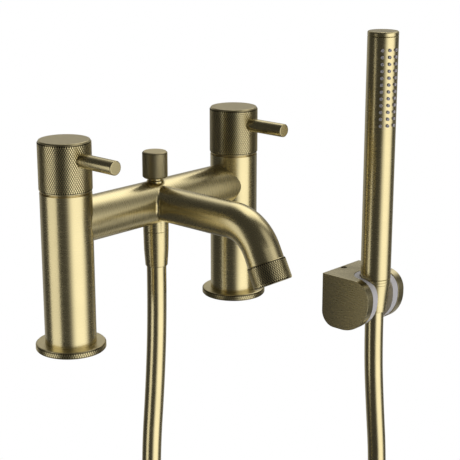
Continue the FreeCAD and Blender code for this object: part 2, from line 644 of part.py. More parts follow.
def lower_hose_nut():
    """The smooth nut that narrows from the outlet's collar to the hose."""
    shoulder = OUTLET_JOINT_Z - LOWER_NUT_SHOULDER
    return revolved([
        (OUTLET_THREAD_R + SNUG, OUTLET_JOINT_Z - 0.15), (OUTLET_R - 0.3, OUTLET_JOINT_Z - 0.15),
        (OUTLET_R, OUTLET_JOINT_Z - 0.45), (LOWER_NUT_SHOULDER_R, shoulder),
        (LOWER_NUT_BOTTOM_R + 0.1, LOWER_NUT_BOTTOM + 0.3), (LOWER_NUT_BOTTOM_R - 0.2, LOWER_NUT_BOTTOM),
        (LOWER_INSERT_R + SNUG, LOWER_NUT_BOTTOM), (LOWER_INSERT_R + SNUG, LOWER_FLANGE_BOTTOM),
        (OUTLET_THREAD_R + SNUG, LOWER_FLANGE_BOTTOM),
    ])


def upper_hose_insert():
    insert = rod(UPPER_FLANGE_R, UPPER_FLANGE_BOTTOM, UPPER_FLANGE_TOP, HANDSET_AXIS)
    insert = insert.fuse(rod(UPPER_INSERT_R, UPPER_NUT_BOTTOM, UPPER_FLANGE_BOTTOM + 0.5, HANDSET_AXIS))
    return insert.cut(rod(INSERT_BORE_R, UPPER_NUT_BOTTOM - 1, UPPER_FLANGE_TOP + 1,
                          HANDSET_AXIS)).removeSplitter()


def cone_nut_radius(z):
    """The cone nut's outer radius at a height on its sloping part."""
    band_z = UPPER_NUT_TOP - UPPER_NUT_BAND
    share = (z - UPPER_NUT_BOTTOM) / (band_z - UPPER_NUT_BOTTOM)
    return UPPER_NUT_BOTTOM_R + share * (UPPER_NUT_BAND_R - UPPER_NUT_BOTTOM_R)


def upper_hose_nut():
    """The cone nut under the handset, which seats in the wall bracket."""
    band_z = UPPER_NUT_TOP - UPPER_NUT_BAND
    thread_r = CONNECTOR_THREAD_R + SNUG
    flange_r = UPPER_FLANGE_R + 2 * RUNNING
    insert_r = UPPER_INSERT_R + RUNNING
    return revolved([
        (thread_r, UPPER_NUT_TOP), (UPPER_NUT_TOP_R - 0.2, UPPER_NUT_TOP),
        (UPPER_NUT_TOP_R, UPPER_NUT_TOP - 0.2), (UPPER_NUT_BAND_R, band_z),
        (UPPER_NUT_BOTTOM_R, UPPER_NUT_BOTTOM + 0.3), (UPPER_NUT_BOTTOM_R - 0.3, UPPER_NUT_BOTTOM),
        (insert_r, UPPER_NUT_BOTTOM), (insert_r, UPPER_FLANGE_BOTTOM),
        (flange_r, UPPER_FLANGE_BOTTOM), (flange_r, CONNECTOR_BOTTOM - SNUG),
        (thread_r, CONNECTOR_BOTTOM - SNUG),
    ], HANDSET_AXIS)


def handset_washer():
    return tube(UPPER_FLANGE_R - 0.1, OUTLET_BORE_R, UPPER_FLANGE_TOP, CONNECTOR_BOTTOM, HANDSET_AXIS)


# ---------------------------------------------------------------- handset

def nozzle_places():
    """Each nozzle's height and the turn of its column about the handset's axis."""
    middle = (NOZZLE_COLUMNS - 1) / 2
    for column in range(NOZZLE_COLUMNS):
        for row in range(NOZZLE_ROWS):
            yield NOZZLE_TOP_Z - NOZZLE_PITCH * row, NOZZLE_FACING + NOZZLE_COLUMN_STEP * (column - middle)


def spoke(radius, r0, r1, z, turn):
    """A cylinder pointing out of the handset, turned from the front about its axis."""
    angle = math.radians(turn)
    way = V(math.sin(angle), -math.cos(angle), 0)
    return Part.makeCylinder(radius, r1 - r0, HANDSET_AXIS + way * r0 + UP * z, way)


def handset_body():
    top = CAP_JOINT_Z - CAP_GROOVE
    shell = revolved([
        (HANDSET_BORE_R, HANDSET_BOTTOM), (HANDSET_R - 0.2, HANDSET_BOTTOM),
        (HANDSET_R, HANDSET_BOTTOM + 0.2), (HANDSET_R, top - 0.2), (HANDSET_R - 0.2, top),
        (HANDSET_BORE_R, top),
    ], HANDSET_AXIS)
    holes = [spoke(NOZZLE_R + 0.1, HANDSET_BORE_R - 1, HANDSET_R + 1, z, turn) for z, turn in nozzle_places()]
    return shell.cut(Part.makeCompound(holes))


def handset_nozzles():
    """The silicone strip inside the handset, with its nozzles standing out through the wall."""
    outer = HANDSET_BORE_R - SNUG
    z0 = NOZZLE_TOP_Z - NOZZLE_PITCH * (NOZZLE_ROWS - 1) - STRIP_MARGIN
    strip = tube(outer, outer - STRIP_THICK, z0, NOZZLE_TOP_Z + STRIP_MARGIN, HANDSET_AXIS)
    wedge = Part.makeCylinder(HANDSET_R, 2 * (NOZZLE_TOP_Z - z0), V(HANDSET_X, HANDSET_Y, z0 - 5), UP,
                              2 * STRIP_HALF_ANGLE)
    wedge.rotate(HANDSET_AXIS, UP, NOZZLE_FACING - 90 - STRIP_HALF_ANGLE)
    strip = strip.common(wedge)
    pins = [spoke(NOZZLE_R, outer - STRIP_THICK / 2, HANDSET_R + NOZZLE_PROUD, z, turn)
            for z, turn in nozzle_places()]
    strip = strip.fuse(pins)
    jets = [spoke(JET_R, outer - STRIP_THICK - 1, HANDSET_R + NOZZLE_PROUD + 1, z, turn)
            for z, turn in nozzle_places()]
    return strip.cut(Part.makeCompound(jets))


def handset_cap():
    cap = edged_cylinder(HANDSET_R, CAP_JOINT_Z, HANDSET_TOP, CAP_EDGE, 0.2, HANDSET_AXIS)
    cap = cap.fuse(rod(HANDSET_BORE_R - SNUG, CAP_JOINT_Z - CAP_SPIGOT, CAP_JOINT_Z + 0.5, HANDSET_AXIS))
    return cap.cut(rod(HANDSET_BORE_R - 2.0, CAP_JOINT_Z - CAP_SPIGOT - 1, CAP_JOINT_Z, HANDSET_AXIS))


def handset_connector():
    """The end plug of the handset with its thread below."""
    plug = rod(HANDSET_BORE_R - SNUG, HANDSET_BOTTOM, HANDSET_BOTTOM + CONNECTOR_PLUG, HANDSET_AXIS)
    plug = plug.fuse(rod(CONNECTOR_THREAD_R, CONNECTOR_BOTTOM, HANDSET_BOTTOM + 0.5, HANDSET_AXIS))
    return plug.cut(rod(CONNECTOR_BORE_R, CONNECTOR_BOTTOM - 1, HANDSET_BOTTOM + CONNECTOR_PLUG + 1,
                        HANDSET_AXIS)).removeSplitter()


# ---------------------------------------------------------------- wall bracket

def bracket_outline(inset=0.0):
    """The bracket's side outline at X = 0: flat back and top, round front and bottom."""
    back = BRACKET_BACK
    front = BRACKET_BACK - BRACKET_DEPTH + inset
    top = BRACKET_TOP - inset
    bottom = BRACKET_TOP - BRACKET_HEIGHT + inset
    r1 = min(BRACKET_TOP_FRONT_R, 0.39 * BRACKET_HEIGHT) - inset
    r2 = min(BRACKET_BOTTOM_FRONT_R, 0.6 * BRACKET_HEIGHT, 0.65 * BRACKET_DEPTH) - inset
    r3 = min(BRACKET_BOTTOM_BACK_R, 0.33 * BRACKET_DEPTH)
    s = math.sqrt(0.5)

    def at(y, z):
        return V(0, y, z)

    def arc(y, z, r, dy, dz):
        return at(y + r * dy, z + r * dz)

    edges = [
        Part.LineSegment(at(back, top), at(front + r1, top)),
        Part.Arc(at(front + r1, top), arc(front + r1, top - r1, r1, -s, s), at(front, top - r1)),
        Part.LineSegment(at(front, top - r1), at(front, bottom + r2)),
        Part.Arc(at(front, bottom + r2), arc(front + r2, bottom + r2, r2, -s, -s), at(front + r2, bottom)),
        Part.LineSegment(at(front + r2, bottom), at(back - r3, bottom)),
        Part.Arc(at(back - r3, bottom), arc(back - r3, bottom + r3, r3, s, -s), at(back, bottom + r3)),
        Part.LineSegment(at(back, bottom + r3), at(back, top)),
    ]
    return Part.Face(Part.Wire([edge.toShape() for edge in edges]))


def bracket_block(width, inset=0.0):
    """The side outline carried across the bracket's width."""
    block = bracket_outline(inset).extrude(V(width, 0, 0))
    block.translate(V(HANDSET_X - width / 2, 0, 0))
    return block


def bracket_slot(half_width, z0, z1):
    """An upright slot round the handset's axis, open to the front."""
    front = BRACKET_BACK - BRACKET_DEPTH - 5
    slot = rod(half_width, z0, z1, HANDSET_AXIS)
    return slot.fuse(box(HANDSET_X - half_width, HANDSET_X + half_width, front, HANDSET_Y, z0, z1))


def plate_block(grow=0.0):
    """The wall plate's outline, centred in the bracket's back."""
    return box(HANDSET_X - PLATE_WIDTH / 2 - grow, HANDSET_X + PLATE_WIDTH / 2 + grow,
               BRACKET_BACK - PLATE_THICK - grow, BRACKET_BACK,
               PLATE_Z - PLATE_HEIGHT / 2 - grow, PLATE_Z + PLATE_HEIGHT / 2 + grow)


def bracket_body():
    block = bracket_block(BRACKET_WIDTH)
    rims = []
    for edge in block.Edges:
        near = min(abs(edge.BoundBox.XMin - (HANDSET_X + side * BRACKET_WIDTH / 2)) for side in (-1, 1))
        flat = edge.BoundBox.XLength < 0.01
        at_back = edge.BoundBox.YMin > BRACKET_BACK - 0.01
        if near < 0.01 and flat and not at_back:
            rims.append(edge)
    block = block.makeChamfer(BRACKET_EDGE, rims)
    z0 = BRACKET_TOP - BRACKET_HEIGHT - 1
    block = block.cut(bracket_slot(SLOT_HALF + LINER_THICK, z0, BRACKET_TOP + 1))
    block = block.cut(plate_block(SNUG))
    return block.cut(rod(GRUB_R + SNUG, PLATE_Z, BRACKET_TOP + 1, GRUB_AT))


def bracket_liner():
    """The plastic lining of the slot, with a cone seat for the handset's nut."""
    z0 = BRACKET_TOP - BRACKET_HEIGHT - 1
    liner = bracket_block(BRACKET_WIDTH, LINER_INSET)
    liner = liner.common(bracket_slot(SLOT_HALF + LINER_THICK - SNUG, z0, BRACKET_TOP))
    liner = liner.cut(bracket_slot(SLOT_HALF, z0 - 1, BRACKET_TOP + 1))
    top_r = cone_nut_radius(BRACKET_TOP) + LINER_CLEARANCE
    seat = revolved([
        (0, z0), (cone_nut_radius(z0) + LINER_CLEARANCE, z0), (top_r, BRACKET_TOP), (0, BRACKET_TOP),
    ], HANDSET_AXIS)
    return liner.cut(seat)


def wall_plate():
    plate = plate_block()
    for side in (-1, 1):
        z = PLATE_Z + side * PLATE_HOLE_SPACING / 2
        plate = plate.cut(bar_y(PLATE_HOLE_R, BRACKET_BACK - PLATE_THICK - 1, BRACKET_BACK + 1, z, HANDSET_X))
    return plate


def bracket_grub_screw():
    top = PLATE_Z + PLATE_HEIGHT / 2 + SNUG + GRUB_LENGTH
    screw = rod(GRUB_R, PLATE_Z + PLATE_HEIGHT / 2, top, GRUB_AT)
    return screw.cut(hex_socket(2.5, 2.5, V(GRUB_AT.x, GRUB_AT.y, top), V(0, 0, -1)))


# ---------------------------------------------------------------- hose

def across(out, z, aside=0.0, start=0.0):
    """A point on the hose's plane: out mm along it from the mixer's leg, aside from the plane."""
    return HOSE_WAY * (start + out) + HOSE_NORMAL * aside + UP * z


def mixer_leg_route():
    """From the lower nut down to the coil's near side, bulging away from the other leg."""
    points = [(0, LOWER_NUT_BOTTOM, 0), (0, 4, 0), (-3, -54, -2), (-8, -114, -4.5), (-8.5, -172, -6.5)]
    points += [(-3, -224, -7.75), (0, -262, -7.75), (0, COIL_Z, -7.75)]
    return [across(out, z, aside) for out, z, aside in points]


def handset_leg_route():
    """From the cone nut down to the coil's far side."""
    points = [(0, UPPER_NUT_BOTTOM, 0), (0, -48, 0), (3.5, -95, 1.5), (8.5, -146, 4), (9.5, -192, 6)]
    points += [(3.5, -234, 7.75), (0, -266, 7.75), (0, COIL_Z, 7.75)]
    return [across(out, z, aside, LEG_GAP) for out, z, aside in points]


def rounded_path(points, name):
    """Straight runs joined by tangent arcs, each as large as its two runs allow."""
    edges = []
    length = 0.0
    radii = []
    here = points[0]
    for k in range(1, len(points) - 1):
        before = points[k] - points[k - 1]
        after = points[k + 1] - points[k]
        turn = before.getAngle(after)
        cut_back = 0.45 * min(before.Length, after.Length)
        radius = cut_back / math.tan(turn / 2)
        radii.append(radius)
        b = V(before).normalize()
        a = V(after).normalize()
        arc_in = points[k] - b * cut_back
        arc_out = points[k] + a * cut_back
        inward = V(a - b).normalize()
        middle = points[k] + inward * (radius / math.cos(turn / 2) - radius)
        edges.append(Part.LineSegment(here, arc_in).toShape())
        edges.append(Part.Arc(arc_in, middle, arc_out).toShape())
        length += (arc_in - here).Length + radius * turn
        here = arc_out
    edges.append(Part.LineSegment(here, points[-1]).toShape())
    length += (points[-1] - here).Length
    print(name, "length", round(length, 1), "radii", [round(r) for r in radii])
    return Part.Wire(edges), length


def hose_tube(points, name):
    path, length = rounded_path(points, name)
    ring = Part.Wire(Part.makeCircle(HOSE_R, points[0], points[1] - points[0]))
    solid = path.makePipeShell([ring], True, False)
    print(name, "volume over section times length", round(solid.Volume / (math.pi * HOSE_R ** 2 * length), 4))
    return solid


def ring_part(aside, angle0, angle1, width):
    """A stretch of the coil's ring, from angle0 to angle1 about its centre."""
    outer = Part.makeCylinder(COIL_R + HOSE_R, width, V(0, 0, 0), UP, angle1 - angle0)
    ring = outer.cut(Part.makeCylinder(COIL_R - HOSE_R, width, V(0, 0, 0), UP, angle1 - angle0))
    ring.rotate(V(0, 0, 0), UP, angle0)
    ring.rotate(V(0, 0, 0), V(1, 0, 0), 90)
    ring.rotate(V(0, 0, 0), UP, math.degrees(math.atan2(HOSE_WAY.y, HOSE_WAY.x)))
    centre = HOSE_WAY * (LEG_GAP / 2) + UP * COIL_Z
    ring.translate(centre + HOSE_NORMAL * (aside + width))
    return ring


def hose_coil():
    """The outer shape of the put-away turns: two strands side by side below, one above."""
    below = ring_part(-HOSE_D, 180, 360, 2 * HOSE_D)
    near = ring_part(0, 75, 180, HOSE_D)
    far = ring_part(-HOSE_D, 0, 105, HOSE_D)
    return below.fuse([near, far]).removeSplitter()


def hose_tie(coil):
    """The strap round the two strands at the bottom of the coil."""
    centre = HOSE_WAY * (LEG_GAP / 2) + UP * (COIL_Z - COIL_R)
    half = V(TIE_WIDTH / 2, HOSE_D + TIE_THICK, HOSE_R + TIE_THICK)
    strap = Part.makeBox(2 * half.x, 2 * half.y, 2 * half.z, V(-half.x, -half.y, -half.z))
    strap = strap.makeFillet(1.2, [edge for edge in strap.Edges if abs(edge.BoundBox.XLength) > 1])
    strap.rotate(V(0, 0, 0), UP, math.degrees(math.atan2(HOSE_WAY.y, HOSE_WAY.x)))
    strap.translate(centre)
    return strap.cut(coil)


def save(name, shape):
    shape.exportStep(os.path.join("parts", name + ".step"))
    print(name, "solids", len(shape.Solids), "valid", shape.isValid(), "volume", round(shape.Volume, 1))


def main():
    os.makedirs("parts", exist_ok=True)
    by_side = {
        "pillar": pillar, "base_flange": base_flange, "deck_seal": deck_seal, "check_valve": check_valve,
        "cartridge_body": cartridge_body, "cartridge_seal": cartridge_seal, "lower_disc": lower_disc,
        "upper_disc": upper_disc, "spindle": spindle, "handle": handle, "lever": lever,
        "handle_screw": handle_screw,
    }
    for side, x in SIDES.items():
        for name, make in by_side.items():
            save(side + "_" + name, make(x))
    alone = {
        "bridge_tube": bridge_tube, "spout_tube": spout_tube, "aerator_ring": aerator_ring,
        "aerator_seal": aerator_seal, "aerator_insert": aerator_insert, "diverter_cage": diverter_cage,
        "diverter_bush": diverter_bush, "diverter_stem": diverter_stem, "diverter_plunger": diverter_plunger,
        "diverter_lower_seal": diverter_lower_seal, "diverter_upper_seal": diverter_upper_seal,
        "diverter_spring": diverter_spring, "diverter_knob": diverter_knob, "shower_outlet": shower_outlet,
        "outlet_washer": outlet_washer, "lower_hose_insert": lower_hose_insert,
        "lower_hose_nut": lower_hose_nut, "upper_hose_insert": upper_hose_insert,
        "upper_hose_nut": upper_hose_nut, "handset_washer": handset_washer, "handset_body": handset_body,
        "handset_nozzles": handset_nozzles, "handset_cap": handset_cap,
        "handset_connector": handset_connector, "bracket_body": bracket_body,
        "bracket_liner": bracket_liner, "wall_plate": wall_plate, "bracket_grub_screw": bracket_grub_screw,
    }
    for name, make in alone.items():
        save(name, make())
    save("hose_mixer_leg", hose_tube(mixer_leg_route(), "hose_mixer_leg"))
    save("hose_handset_leg", hose_tube(handset_leg_route(), "hose_handset_leg"))
    coil = hose_coil()
    save("hose_coil", coil)
    save("hose_tie", hose_tie(coil))


main()
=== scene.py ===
"""Looks of the bath shower mixer: knurled brass, wall bracket, pencil handset and hose."""
import math
import bmesh
import bpy
from mathutils import Matrix, Vector


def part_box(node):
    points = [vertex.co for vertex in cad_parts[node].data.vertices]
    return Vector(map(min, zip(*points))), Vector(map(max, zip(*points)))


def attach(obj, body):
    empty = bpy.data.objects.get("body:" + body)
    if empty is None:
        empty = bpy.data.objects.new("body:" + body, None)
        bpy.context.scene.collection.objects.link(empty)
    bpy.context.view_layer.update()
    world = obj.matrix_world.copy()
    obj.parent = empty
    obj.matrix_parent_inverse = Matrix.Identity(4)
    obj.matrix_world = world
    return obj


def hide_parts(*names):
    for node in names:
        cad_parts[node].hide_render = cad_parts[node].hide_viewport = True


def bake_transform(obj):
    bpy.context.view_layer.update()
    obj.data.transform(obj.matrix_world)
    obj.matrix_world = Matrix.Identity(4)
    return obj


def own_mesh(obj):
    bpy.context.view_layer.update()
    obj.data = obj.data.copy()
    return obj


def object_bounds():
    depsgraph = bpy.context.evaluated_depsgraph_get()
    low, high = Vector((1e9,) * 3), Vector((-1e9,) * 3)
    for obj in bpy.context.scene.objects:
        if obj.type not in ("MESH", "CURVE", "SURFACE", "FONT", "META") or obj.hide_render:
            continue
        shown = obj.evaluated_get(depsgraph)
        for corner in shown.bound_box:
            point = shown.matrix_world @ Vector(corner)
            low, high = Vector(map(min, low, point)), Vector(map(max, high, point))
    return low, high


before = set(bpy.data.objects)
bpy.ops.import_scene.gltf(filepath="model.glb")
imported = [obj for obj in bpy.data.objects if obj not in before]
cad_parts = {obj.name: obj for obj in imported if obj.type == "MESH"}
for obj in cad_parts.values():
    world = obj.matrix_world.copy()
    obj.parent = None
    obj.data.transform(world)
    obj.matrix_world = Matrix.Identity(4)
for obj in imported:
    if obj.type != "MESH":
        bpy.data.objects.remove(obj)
cad_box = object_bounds()
MM = 0.001
UP = Vector((0, 0, 1))

# ---------------------------------------------------------------- camera

BACK = Vector((-0.7086, -0.6517, 0.2706)).normalized()
RIGHT = Vector((0.6770, -0.7360, 0.0)).normalized()
CAMERA_AT = Vector((-0.6779, -0.7023, 0.3466))
CAMERA_LENS_MM = 101.1


def make_camera():
    camera = bpy.data.objects.new("studio_camera", bpy.data.cameras.new("studio_camera"))
    camera.data.lens = CAMERA_LENS_MM
    camera.data.sensor_width = 36.0
    camera.data.clip_end = 60.0
    turn = Matrix((RIGHT, BACK.cross(RIGHT), BACK)).transposed().to_4x4()
    camera.matrix_world = Matrix.Translation(CAMERA_AT) @ turn
    bpy.context.scene.collection.objects.link(camera)
    bpy.context.scene.camera = camera


make_camera()

# ---------------------------------------------------------------- hose

HANDSET_X = 156.8 * MM
HANDSET_Y = -98.8 * MM
LEG_GAP = math.hypot(HANDSET_X, HANDSET_Y)
HOSE_WAY = Vector((HANDSET_X / LEG_GAP, HANDSET_Y / LEG_GAP, 0))
HOSE_ASIDE = Vector((-HOSE_WAY.y, HOSE_WAY.x, 0))
HOSE_R = 7.75 * MM
COIL_Z = -295 * MM
COIL_POINTS_PER_TURN = 16


def hose_point(out, z, aside=0.0, start=0.0):
    """A point out mm along the hose's plane from start, at height z and aside mm out of the plane."""
    return HOSE_WAY * (start + out * MM) + HOSE_ASIDE * (aside * MM) + UP * (z * MM)


def hose_points():
    """Down from the mixer, one and a half turns of the put-away coil, and up to the cone nut."""
    mixer_leg = [(0, 44.3, 0), (0, 4, 0), (-3, -54, -2), (-8, -114, -4.5), (-8.5, -172, -6.5)]
    mixer_leg += [(-3, -224, -7.75), (0, -262, -7.75)]
    handset_leg = [(0, -266, 7.75), (3.5, -234, 7.75), (9.5, -192, 6), (8.5, -146, 4), (3.5, -95, 1.5)]
    handset_leg += [(0, -48, 0), (0, -10.2, 0)]
    points = [hose_point(out, z, aside) for out, z, aside in mixer_leg]
    centre = HOSE_WAY * (LEG_GAP / 2) + UP * COIL_Z
    radius = LEG_GAP / 2 / math.cos(math.pi / COIL_POINTS_PER_TURN)
    for k in range(1, int(1.5 * COIL_POINTS_PER_TURN)):
        turned = k / COIL_POINTS_PER_TURN
        angle = math.pi + 2 * math.pi * turned
        over_top = min(max(2 * turned - 1, 0), 1)
        ring = HOSE_WAY * math.cos(angle) + UP * math.sin(angle)
        points.append(centre + ring * radius + HOSE_ASIDE * (HOSE_R * (2 * over_top - 1)))
    points += [hose_point(out, z, aside, LEG_GAP) for out, z, aside in handset_leg]
    return points


def hose_curve(name, radius):
    """The hose's smooth line, as a tube of that radius or bare with none."""
    data = bpy.data.curves.new(name, "CURVE")
    data.dimensions = "3D"
    spline = data.splines.new("NURBS")
    points = hose_points()
    spline.points.add(len(points) - 1)
    for point, place in zip(spline.points, points):
        point.co = (*place, 1)
    spline.order_u = 3
    spline.use_endpoint_u = True
    spline.resolution_u = 10
    data.bevel_depth = radius
    data.bevel_resolution = 9
    curve = bpy.data.objects.new(name, data)
    bpy.context.scene.collection.objects.link(curve)
    return curve


def finished_mesh(piece):
    """The mesh of an object with its modifiers applied."""
    bpy.context.view_layer.update()
    return bpy.data.meshes.new_from_object(piece.evaluated_get(bpy.context.evaluated_depsgraph_get()))


def smooth(data):
    data.polygons.foreach_set("use_smooth", [True] * len(data.polygons))


def hose_mesh(name, radius):
    curve = hose_curve(name + "_line", radius)
    made = finished_mesh(curve)
    bpy.data.objects.remove(curve)
    return made


line = hose_mesh("hose_route", 0.0)
hose = bpy.data.objects.new("shower_hose", hose_mesh("shower_hose", HOSE_R))
bpy.context.scene.collection.objects.link(hose)
smooth(hose.data)
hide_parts("hose_mixer_leg", "hose_coil", "hose_handset_leg")
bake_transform(hose)

# ---------------------------------------------------------------- mesh helpers

def as_object(name, mesh):
    data = bpy.data.meshes.new(name)
    mesh.to_mesh(data)
    mesh.free()
    made = bpy.data.objects.new(name, data)
    bpy.context.scene.collection.objects.link(made)
    return made


def with_flat_faces(piece, sharp):
    """Keeps big flat faces flat beside their rounded edges."""
    piece.data.set_sharp_from_angle(angle=math.radians(sharp))
    flat = piece.modifiers.new("flat_faces", "WEIGHTED_NORMAL")
    flat.keep_sharp, flat.weight = True, 100
    finished = finished_mesh(piece)
    piece.modifiers.clear()
    piece.data = finished


def place(name, mesh, body, slot, material, nodes=(), sharp=38):
    """Makes an object of a bmesh, gives it its finish and lets it ride on its body."""
    bmesh.ops.recalc_face_normals(mesh, faces=mesh.faces)
    piece = as_object(name, mesh)
    with_flat_faces(piece, sharp)
    piece.data.materials.append(material)
    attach(piece, body)
    if nodes:
        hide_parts(*nodes)
    return piece


def softened(outline, radius, closed=True):
    """Rounds the corners of an outline of (radius, height) pairs."""
    out = []
    count = len(outline)
    for k, (r, z) in enumerate(outline):
        here = Vector((r, z))
        if not closed and k in (0, count - 1):
            out.append((r, z))
            continue
        before = Vector(outline[k - 1]) - here
        after = Vector(outline[(k + 1) % count]) - here
        cut = min(radius, 0.45 * before.length, 0.45 * after.length)
        if r < 1e-7 or abs(before.angle(after) - math.pi) < 0.02:
            out.append((r, z))
            continue
        a = here + before.normalized() * cut
        b = here + after.normalized() * cut
        for share in (0, 0.25, 0.5, 0.75, 1):
            point = a * (1 - share) ** 2 + here * (2 * share * (1 - share)) + b * share ** 2
            out.append((point.x, point.y))
    return out


def turned(mesh, outline, steps=128, closed=True, seat=Matrix()):
    """Turns an outline about the upright axis of seat, and returns its rings of vertices."""
    rings = []
    for r, z in outline:
        if r < 1e-7:
            rings.append([mesh.verts.new(seat @ Vector((0, 0, z)))])
            continue
        ring = []
        for k in range(steps):
            angle = 2 * math.pi * k / steps
            ring.append(mesh.verts.new(seat @ Vector((r * math.cos(angle), r * math.sin(angle), z))))
        rings.append(ring)
    pairs = list(zip(rings, rings[1:]))
    if closed:
        pairs.append((rings[-1], rings[0]))
    for low, high in pairs:
        band(mesh, low, high)
    return rings


def band(mesh, low, high):
    """Faces between two rings, either of which may be a single point."""
    steps = max(len(low), len(high))
    if steps == 1:
        return
    for k in range(steps):
        n = (k + 1) % steps
        corners = [low[k % len(low)], low[n % len(low)], high[n % len(high)], high[k % len(high)]]
        face = mesh.faces.new(list(dict.fromkeys(corners)))
        face.smooth = True


def knurled(mesh, radius, z0, z1, teeth, depth, seat=Matrix(), slope=math.sqrt(3), flat=0.7):
    """A band of diamonds with flat tops from z0 to z1. Returns its first and last rings, both plain."""
    groove = mesh.verts.layers.float.get("groove") or mesh.verts.layers.float.new("groove")
    steps = 2 * teeth
    rows = max(2, round((z1 - z0) / (math.pi * radius / teeth * slope)))

    def vertex_at(k, row, r, mark):
        angle = math.pi * k / teeth
        z = z0 + (z1 - z0) * row / rows
        vertex = mesh.verts.new(seat @ Vector((r * math.cos(angle), r * math.sin(angle), z)))
        vertex[groove] = mark
        return vertex

    rings = []
    for row in range(rows + 1):
        border = row in (0, rows)
        rings.append([vertex_at(k, row, radius - depth, 0.35 if border else 1.0) if border or (row + k) % 2 else None
                      for k in range(steps)])
    for row in range(rows + 1):
        for k in range(row % 2, steps, 2):
            right, left = (k + 1) % steps, (k - 1) % steps
            if row in (0, rows):
                inside = rings[1 if row == 0 else rows - 1][k]
                mesh.faces.new((rings[row][left], rings[row][k], inside))
                mesh.faces.new((rings[row][k], rings[row][right], inside))
                continue
            foot = (rings[row][right], rings[row + 1][k], rings[row][left], rings[row - 1][k])
            top = [vertex_at(k + out * flat, row + up * flat, radius, 0.0)
                   for out, up in ((1, 0), (0, 1), (-1, 0), (0, -1))]
            mesh.faces.new(top)
            for j in range(4):
                mesh.faces.new((foot[j], foot[(j + 1) % 4], top[(j + 1) % 4], top[j]))
    return rings[0], rings[-1]


def knurled_turning(outline_below, knurl, outline_above, seat=Matrix()):
    """A turned piece with a knurled band: plain rings below, the band, plain rings above, closed."""
    radius, z0, z1, teeth, depth = knurl
    mesh = bmesh.new()
    first, last = knurled(mesh, radius, z0, z1, teeth, depth, seat)
    below = turned(mesh, outline_below, 2 * teeth, False, seat)
    above = turned(mesh, outline_above, 2 * teeth, False, seat)
    band(mesh, below[-1], first)
    band(mesh, last, above[0])
    band(mesh, above[-1], below[0])
    return mesh


def node_size(node):
    """The centre, radius, bottom and top of an upright round CAD node."""
    low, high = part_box(node)
    return Vector(((low.x + high.x) / 2, (low.y + high.y) / 2, 0)), (high.x - low.x) / 2, low.z, high.z


def pointing(at, way):
    """A seat at a point with its upright axis along way."""
    return Matrix.Translation(at) @ Vector(way).to_track_quat("Z", "Y").to_matrix().to_4x4()

# ---------------------------------------------------------------- shader groups

def shader_group(name, inputs, outputs):
    tree = bpy.data.node_groups.new(name, "ShaderNodeTree")
    for label, kind, value in inputs:
        socket = tree.interface.new_socket(name=label, in_out="INPUT", socket_type=kind)
        socket.default_value = value
    for label, kind in outputs:
        tree.interface.new_socket(name=label, in_out="OUTPUT", socket_type=kind)
    return tree, tree.nodes.new("NodeGroupInput"), tree.nodes.new("NodeGroupOutput")


def node(tree, kind, **settings):
    made = tree.nodes.new(kind)
    for key, value in settings.items():
        setattr(made, key, value)
    return made


def join(tree, *pairs):
    for start, end in pairs:
        tree.links.new(start, end)


def mixed_colour(tree, factor, first, second):
    """A colour between two, which are colours or sockets."""
    mix = node(tree, "ShaderNodeMix", data_type="RGBA")
    for socket, value in ((mix.inputs[0], factor), (mix.inputs[6], first), (mix.inputs[7], second)):
        if isinstance(value, (tuple, float)):
            socket.default_value = (*value, 1) if isinstance(value, tuple) else value
        else:
            tree.links.new(value, socket)
    return mix.outputs[2]


def spread(tree, value, low, high, to_low, to_high):
    """A value's range carried to another range."""
    fitted = node(tree, "ShaderNodeMapRange")
    tree.links.new(value, fitted.inputs["Value"])
    for label, number in (("From Min", low), ("From Max", high), ("To Min", to_low), ("To Max", to_high)):
        fitted.inputs[label].default_value = number
    return fitted.outputs["Result"]


ANTIQUE_METAL = (0.62, 0.535, 0.30)
AGED_METAL = (0.06, 0.05, 0.028)
RUBBED_METAL = (0.74, 0.66, 0.42)


def make_brushed_lines():
    """Fine lines across the stretch's long direction, and a soft cloud of tone."""
    tree, given, result = shader_group(
        "Brushed lines", [("Stretch", "NodeSocketVector", (90, 90, 1600))],
        [("Lines", "NodeSocketFloat"), ("Cloud", "NodeSocketFloat")])
    place_at = node(tree, "ShaderNodeTexCoord")
    pull = node(tree, "ShaderNodeVectorMath", operation="MULTIPLY")
    lines = node(tree, "ShaderNodeTexNoise")
    lines.inputs["Scale"].default_value = 1.0
    lines.inputs["Detail"].default_value = 2.0
    cloud = node(tree, "ShaderNodeTexNoise")
    cloud.inputs["Scale"].default_value = 34.0
    cloud.inputs["Detail"].default_value = 3.0
    join(tree, (place_at.outputs["Object"], pull.inputs[0]), (given.outputs["Stretch"], pull.inputs[1]),
         (pull.outputs[0], lines.inputs["Vector"]), (place_at.outputs["Object"], cloud.inputs["Vector"]),
         (lines.outputs["Fac"], result.inputs["Lines"]), (cloud.outputs["Fac"], result.inputs["Cloud"]))
    return tree


def make_edge_wear():
    """A mask that is bright on worn outer edges and dark in inner corners."""
    tree, given, result = shader_group(
        "Edge wear", [("Start", "NodeSocketFloat", 0.51), ("Full", "NodeSocketFloat", 0.56)],
        [("Worn", "NodeSocketFloat"), ("Hollow", "NodeSocketFloat")])
    shape = node(tree, "ShaderNodeNewGeometry")
    worn = node(tree, "ShaderNodeMapRange")
    hollow = node(tree, "ShaderNodeMapRange")
    hollow.inputs["From Min"].default_value = 0.49
    hollow.inputs["From Max"].default_value = 0.44
    join(tree, (shape.outputs["Pointiness"], worn.inputs["Value"]), (given.outputs["Start"], worn.inputs["From Min"]),
         (given.outputs["Full"], worn.inputs["From Max"]), (shape.outputs["Pointiness"], hollow.inputs["Value"]),
         (worn.outputs["Result"], result.inputs["Worn"]), (hollow.outputs["Result"], result.inputs["Hollow"]))
    return tree


